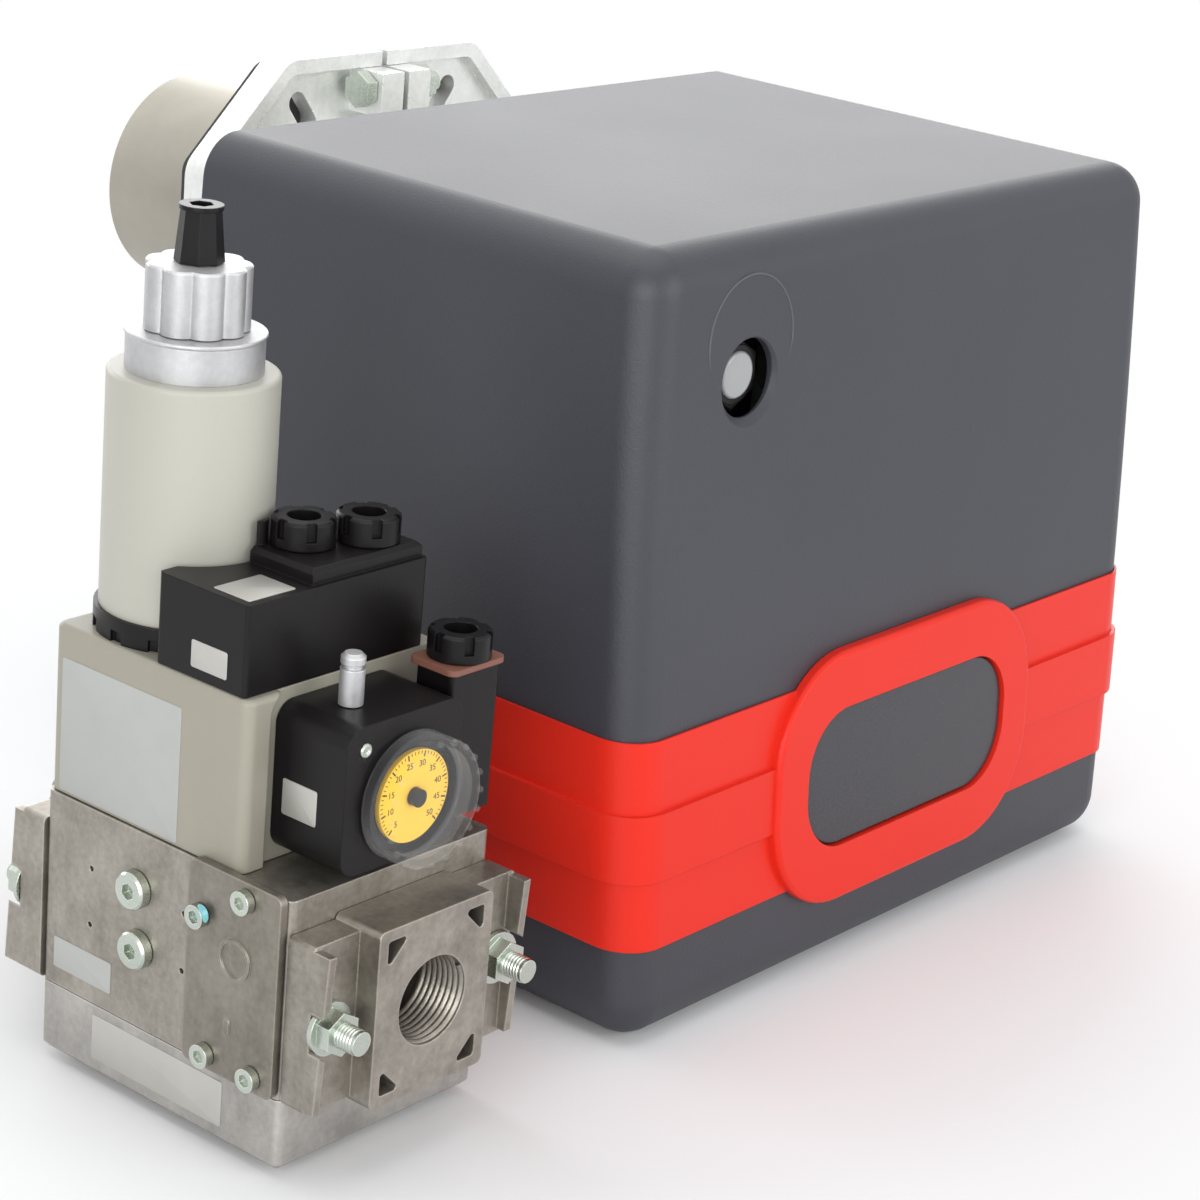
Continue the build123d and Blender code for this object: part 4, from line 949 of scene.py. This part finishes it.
# --------------------------------------------------------------------------- studio
@dataclass
class Studio:
    """Floor, lights and camera."""

    azimuth_deg: float = -51.9
    elevation_deg: float = 19.6
    roll_deg: float = 5.4
    distance: float = 1.2334
    side: float = -0.0162
    lift: float = -0.0437
    lens: float = 94.0
    shift: tuple[float, float] = (-0.0230, 0.0102)
    pivot: Vector = Vector((0.0, -0.1820, -0.0730))
    sensor: float = 36.0
    clip: tuple[float, float] = (0.05, 50.0)
    lamp_aim: Vector = Vector((-0.05, -0.18, -0.08))
    rear_away: float = 2.4
    rear_shift: Vector = Vector((-0.70, 0.70, 0.85))
    ambient: float = 0.55
    ambient_colour: Colour = (0.94, 0.96, 1.0)
    floor_half: float = 6.0
    floor_drop: float = 0.5 * MM
    floor_greys: tuple[Colour, Colour] = ((0.80, 0.80, 0.80), (0.83, 0.83, 0.83))
    floor_middle: tuple[float, float] = (-0.08, -0.17)
    white_from: float = 0.24
    whitening: float = 6.0

    def camera(self) -> None:
        """Sets the camera at the product view."""
        azimuth, elevation = math.radians(self.azimuth_deg), math.radians(self.elevation_deg)
        roll = math.radians(self.roll_deg)
        back = Vector((math.sin(azimuth) * math.cos(elevation), -math.cos(azimuth) * math.cos(elevation),
                       math.sin(elevation)))
        right = (-back).cross(UP).normalized()
        up = right.cross(-back)
        turned_right = right * math.cos(roll) + up * math.sin(roll)
        turned_up = up * math.cos(roll) - right * math.sin(roll)
        data = bpy.data.cameras.new("product_view")
        data.lens = self.lens
        data.sensor_width = self.sensor
        data.shift_x, data.shift_y = self.shift
        data.clip_start, data.clip_end = self.clip
        camera = bpy.data.objects.new("product_view", data)
        bpy.context.scene.collection.objects.link(camera)
        place = self.pivot + back * self.distance + turned_right * self.side + turned_up * self.lift
        turned = Matrix((turned_right, turned_up, back)).transposed().to_4x4()
        camera.matrix_world = Matrix.Translation(place) @ turned
        bpy.context.scene.camera = camera

    def lamp(self, name: str, place: Vector, size: tuple[float, float], power: float) -> None:
        """Hangs one soft box.

        Args:
            name: the lamp's name.
            place: its middle.
            size: width and height.
            power: watts.
        """
        data = bpy.data.lights.new(name, "AREA")
        data.shape = "RECTANGLE"
        data.size, data.size_y = size
        data.energy = power
        lamp = bpy.data.objects.new(name, data)
        bpy.context.scene.collection.objects.link(lamp)
        turned = (self.lamp_aim - place).to_track_quat("-Z", "Y").to_matrix().to_4x4()
        lamp.matrix_world = Matrix.Translation(place) @ turned

    def lights(self) -> None:
        """Hangs the soft boxes."""
        azimuth = math.radians(self.azimuth_deg)
        away = Vector((-math.sin(azimuth), math.cos(azimuth), 0.0))
        rear = self.lamp_aim + away * self.rear_away + self.rear_shift
        for name, place, size, power in (("top_box", Vector((0.0, 0.1, 1.9)), (2.4, 2.4), 24.0),
                                         ("left_box", Vector((-2.3, -1.45, 0.45)), (2.2, 2.0), 50.0),
                                         ("front_box", Vector((0.5, -2.7, 0.7)), (2.0, 1.8), 28.0),
                                         ("rear_box", rear, (5.0, 1.2), 54.0)):
            self.lamp(name, place, size, power)

    def surroundings(self) -> None:
        """Sets a surround that is white to look at and lights the burner softly."""
        world = bpy.data.worlds.new("studio")
        world.use_nodes = True
        tree = world.node_tree
        tree.nodes.clear()
        path = tree.nodes.new("ShaderNodeLightPath")
        mix = tree.nodes.new("ShaderNodeMixShader")
        factor = path.outputs["Is Camera Ray"]
        for ray in ("Is Glossy Ray", "Is Transmission Ray"):
            either = tree.nodes.new("ShaderNodeMath")
            either.operation = "MAXIMUM"
            tree.links.new(factor, either.inputs[0])
            tree.links.new(path.outputs[ray], either.inputs[1])
            factor = either.outputs[0]
        tree.links.new(factor, mix.inputs[0])
        for socket, colour, strength in ((1, self.ambient_colour, self.ambient), (2, WHITE, 1.0)):
            background = tree.nodes.new("ShaderNodeBackground")
            background.inputs[0].default_value = (*colour, 1.0)
            background.inputs[1].default_value = strength
            tree.links.new(background.outputs[0], mix.inputs[socket])
        out = tree.nodes.new("ShaderNodeOutputWorld")
        tree.links.new(mix.outputs[0], out.inputs[0])
        bpy.context.scene.world = world

    def paper(self) -> bpy.types.Material:
        """The floor's material: pale paper near the burner, plain white further out."""
        shader = Shader("floor_paper")
        mottle = shader.noise(4.0, 2.0)
        shader.done(Base_Color=shader.blend(*self.floor_greys, mottle), Roughness=0.85,
                    Specular_IOR_Level=0.1)
        spot = shader.node("VectorMath", {"operation": "SUBTRACT"},
                           {0: shader.place(), 1: (*self.floor_middle, 0.0)})
        flat = shader.node("VectorMath", {"operation": "MULTIPLY"}, {0: spot, 1: (1.0, 1.0, 0.0)})
        reach = shader.node("VectorMath", {"operation": "LENGTH"}, {0: flat}, output="Value")
        seen = shader.node("LightPath", output="Is Camera Ray")
        fade = ((reach - self.white_from) * self.whitening).held() * seen
        glow = shader.node("Emission", inputs={"Color": WHITE, "Strength": 1.0})
        paper = Field(shader, shader.surface.outputs[0])
        shader.feed(shader.output.inputs[0], shader.node("MixShader", inputs={0: fade, 1: paper, 2: glow}))
        return shader.material

    def floor(self) -> None:
        """Lays a pale floor under the burner, fading to plain white away from it."""
        low, _ = CAD_BOX
        mesh = bmesh.new()
        height = low[2] - self.floor_drop
        mesh.faces.new([mesh.verts.new((x * self.floor_half, y * self.floor_half, height))
                        for x, y in ((-1, -1), (1, -1), (1, 1), (-1, 1))])
        data = bpy.data.meshes.new("floor")
        mesh.to_mesh(data)
        mesh.free()
        floor = bpy.data.objects.new("floor", data)
        bpy.context.scene.collection.objects.link(floor)
        data.materials.append(self.paper())

    def build(self) -> None:
        """Sets up the whole studio."""
        self.camera()
        self.lights()
        self.surroundings()
        self.floor()
        bpy.context.scene.view_settings.view_transform = "Standard"


def main() -> None:
    """Dresses the burner and sets the studio."""
    logging.basicConfig(level=logging.INFO, format="%(message)s")
    PALETTE.dress_frame()
    for assembly in (Stickers(), InletThread(), HoodMarks(), SwitchTrim(), ValveTrim(), ScaleDisc(),
                     Studio()):
        assembly.build()


if __name__ == "__main__":
    main()
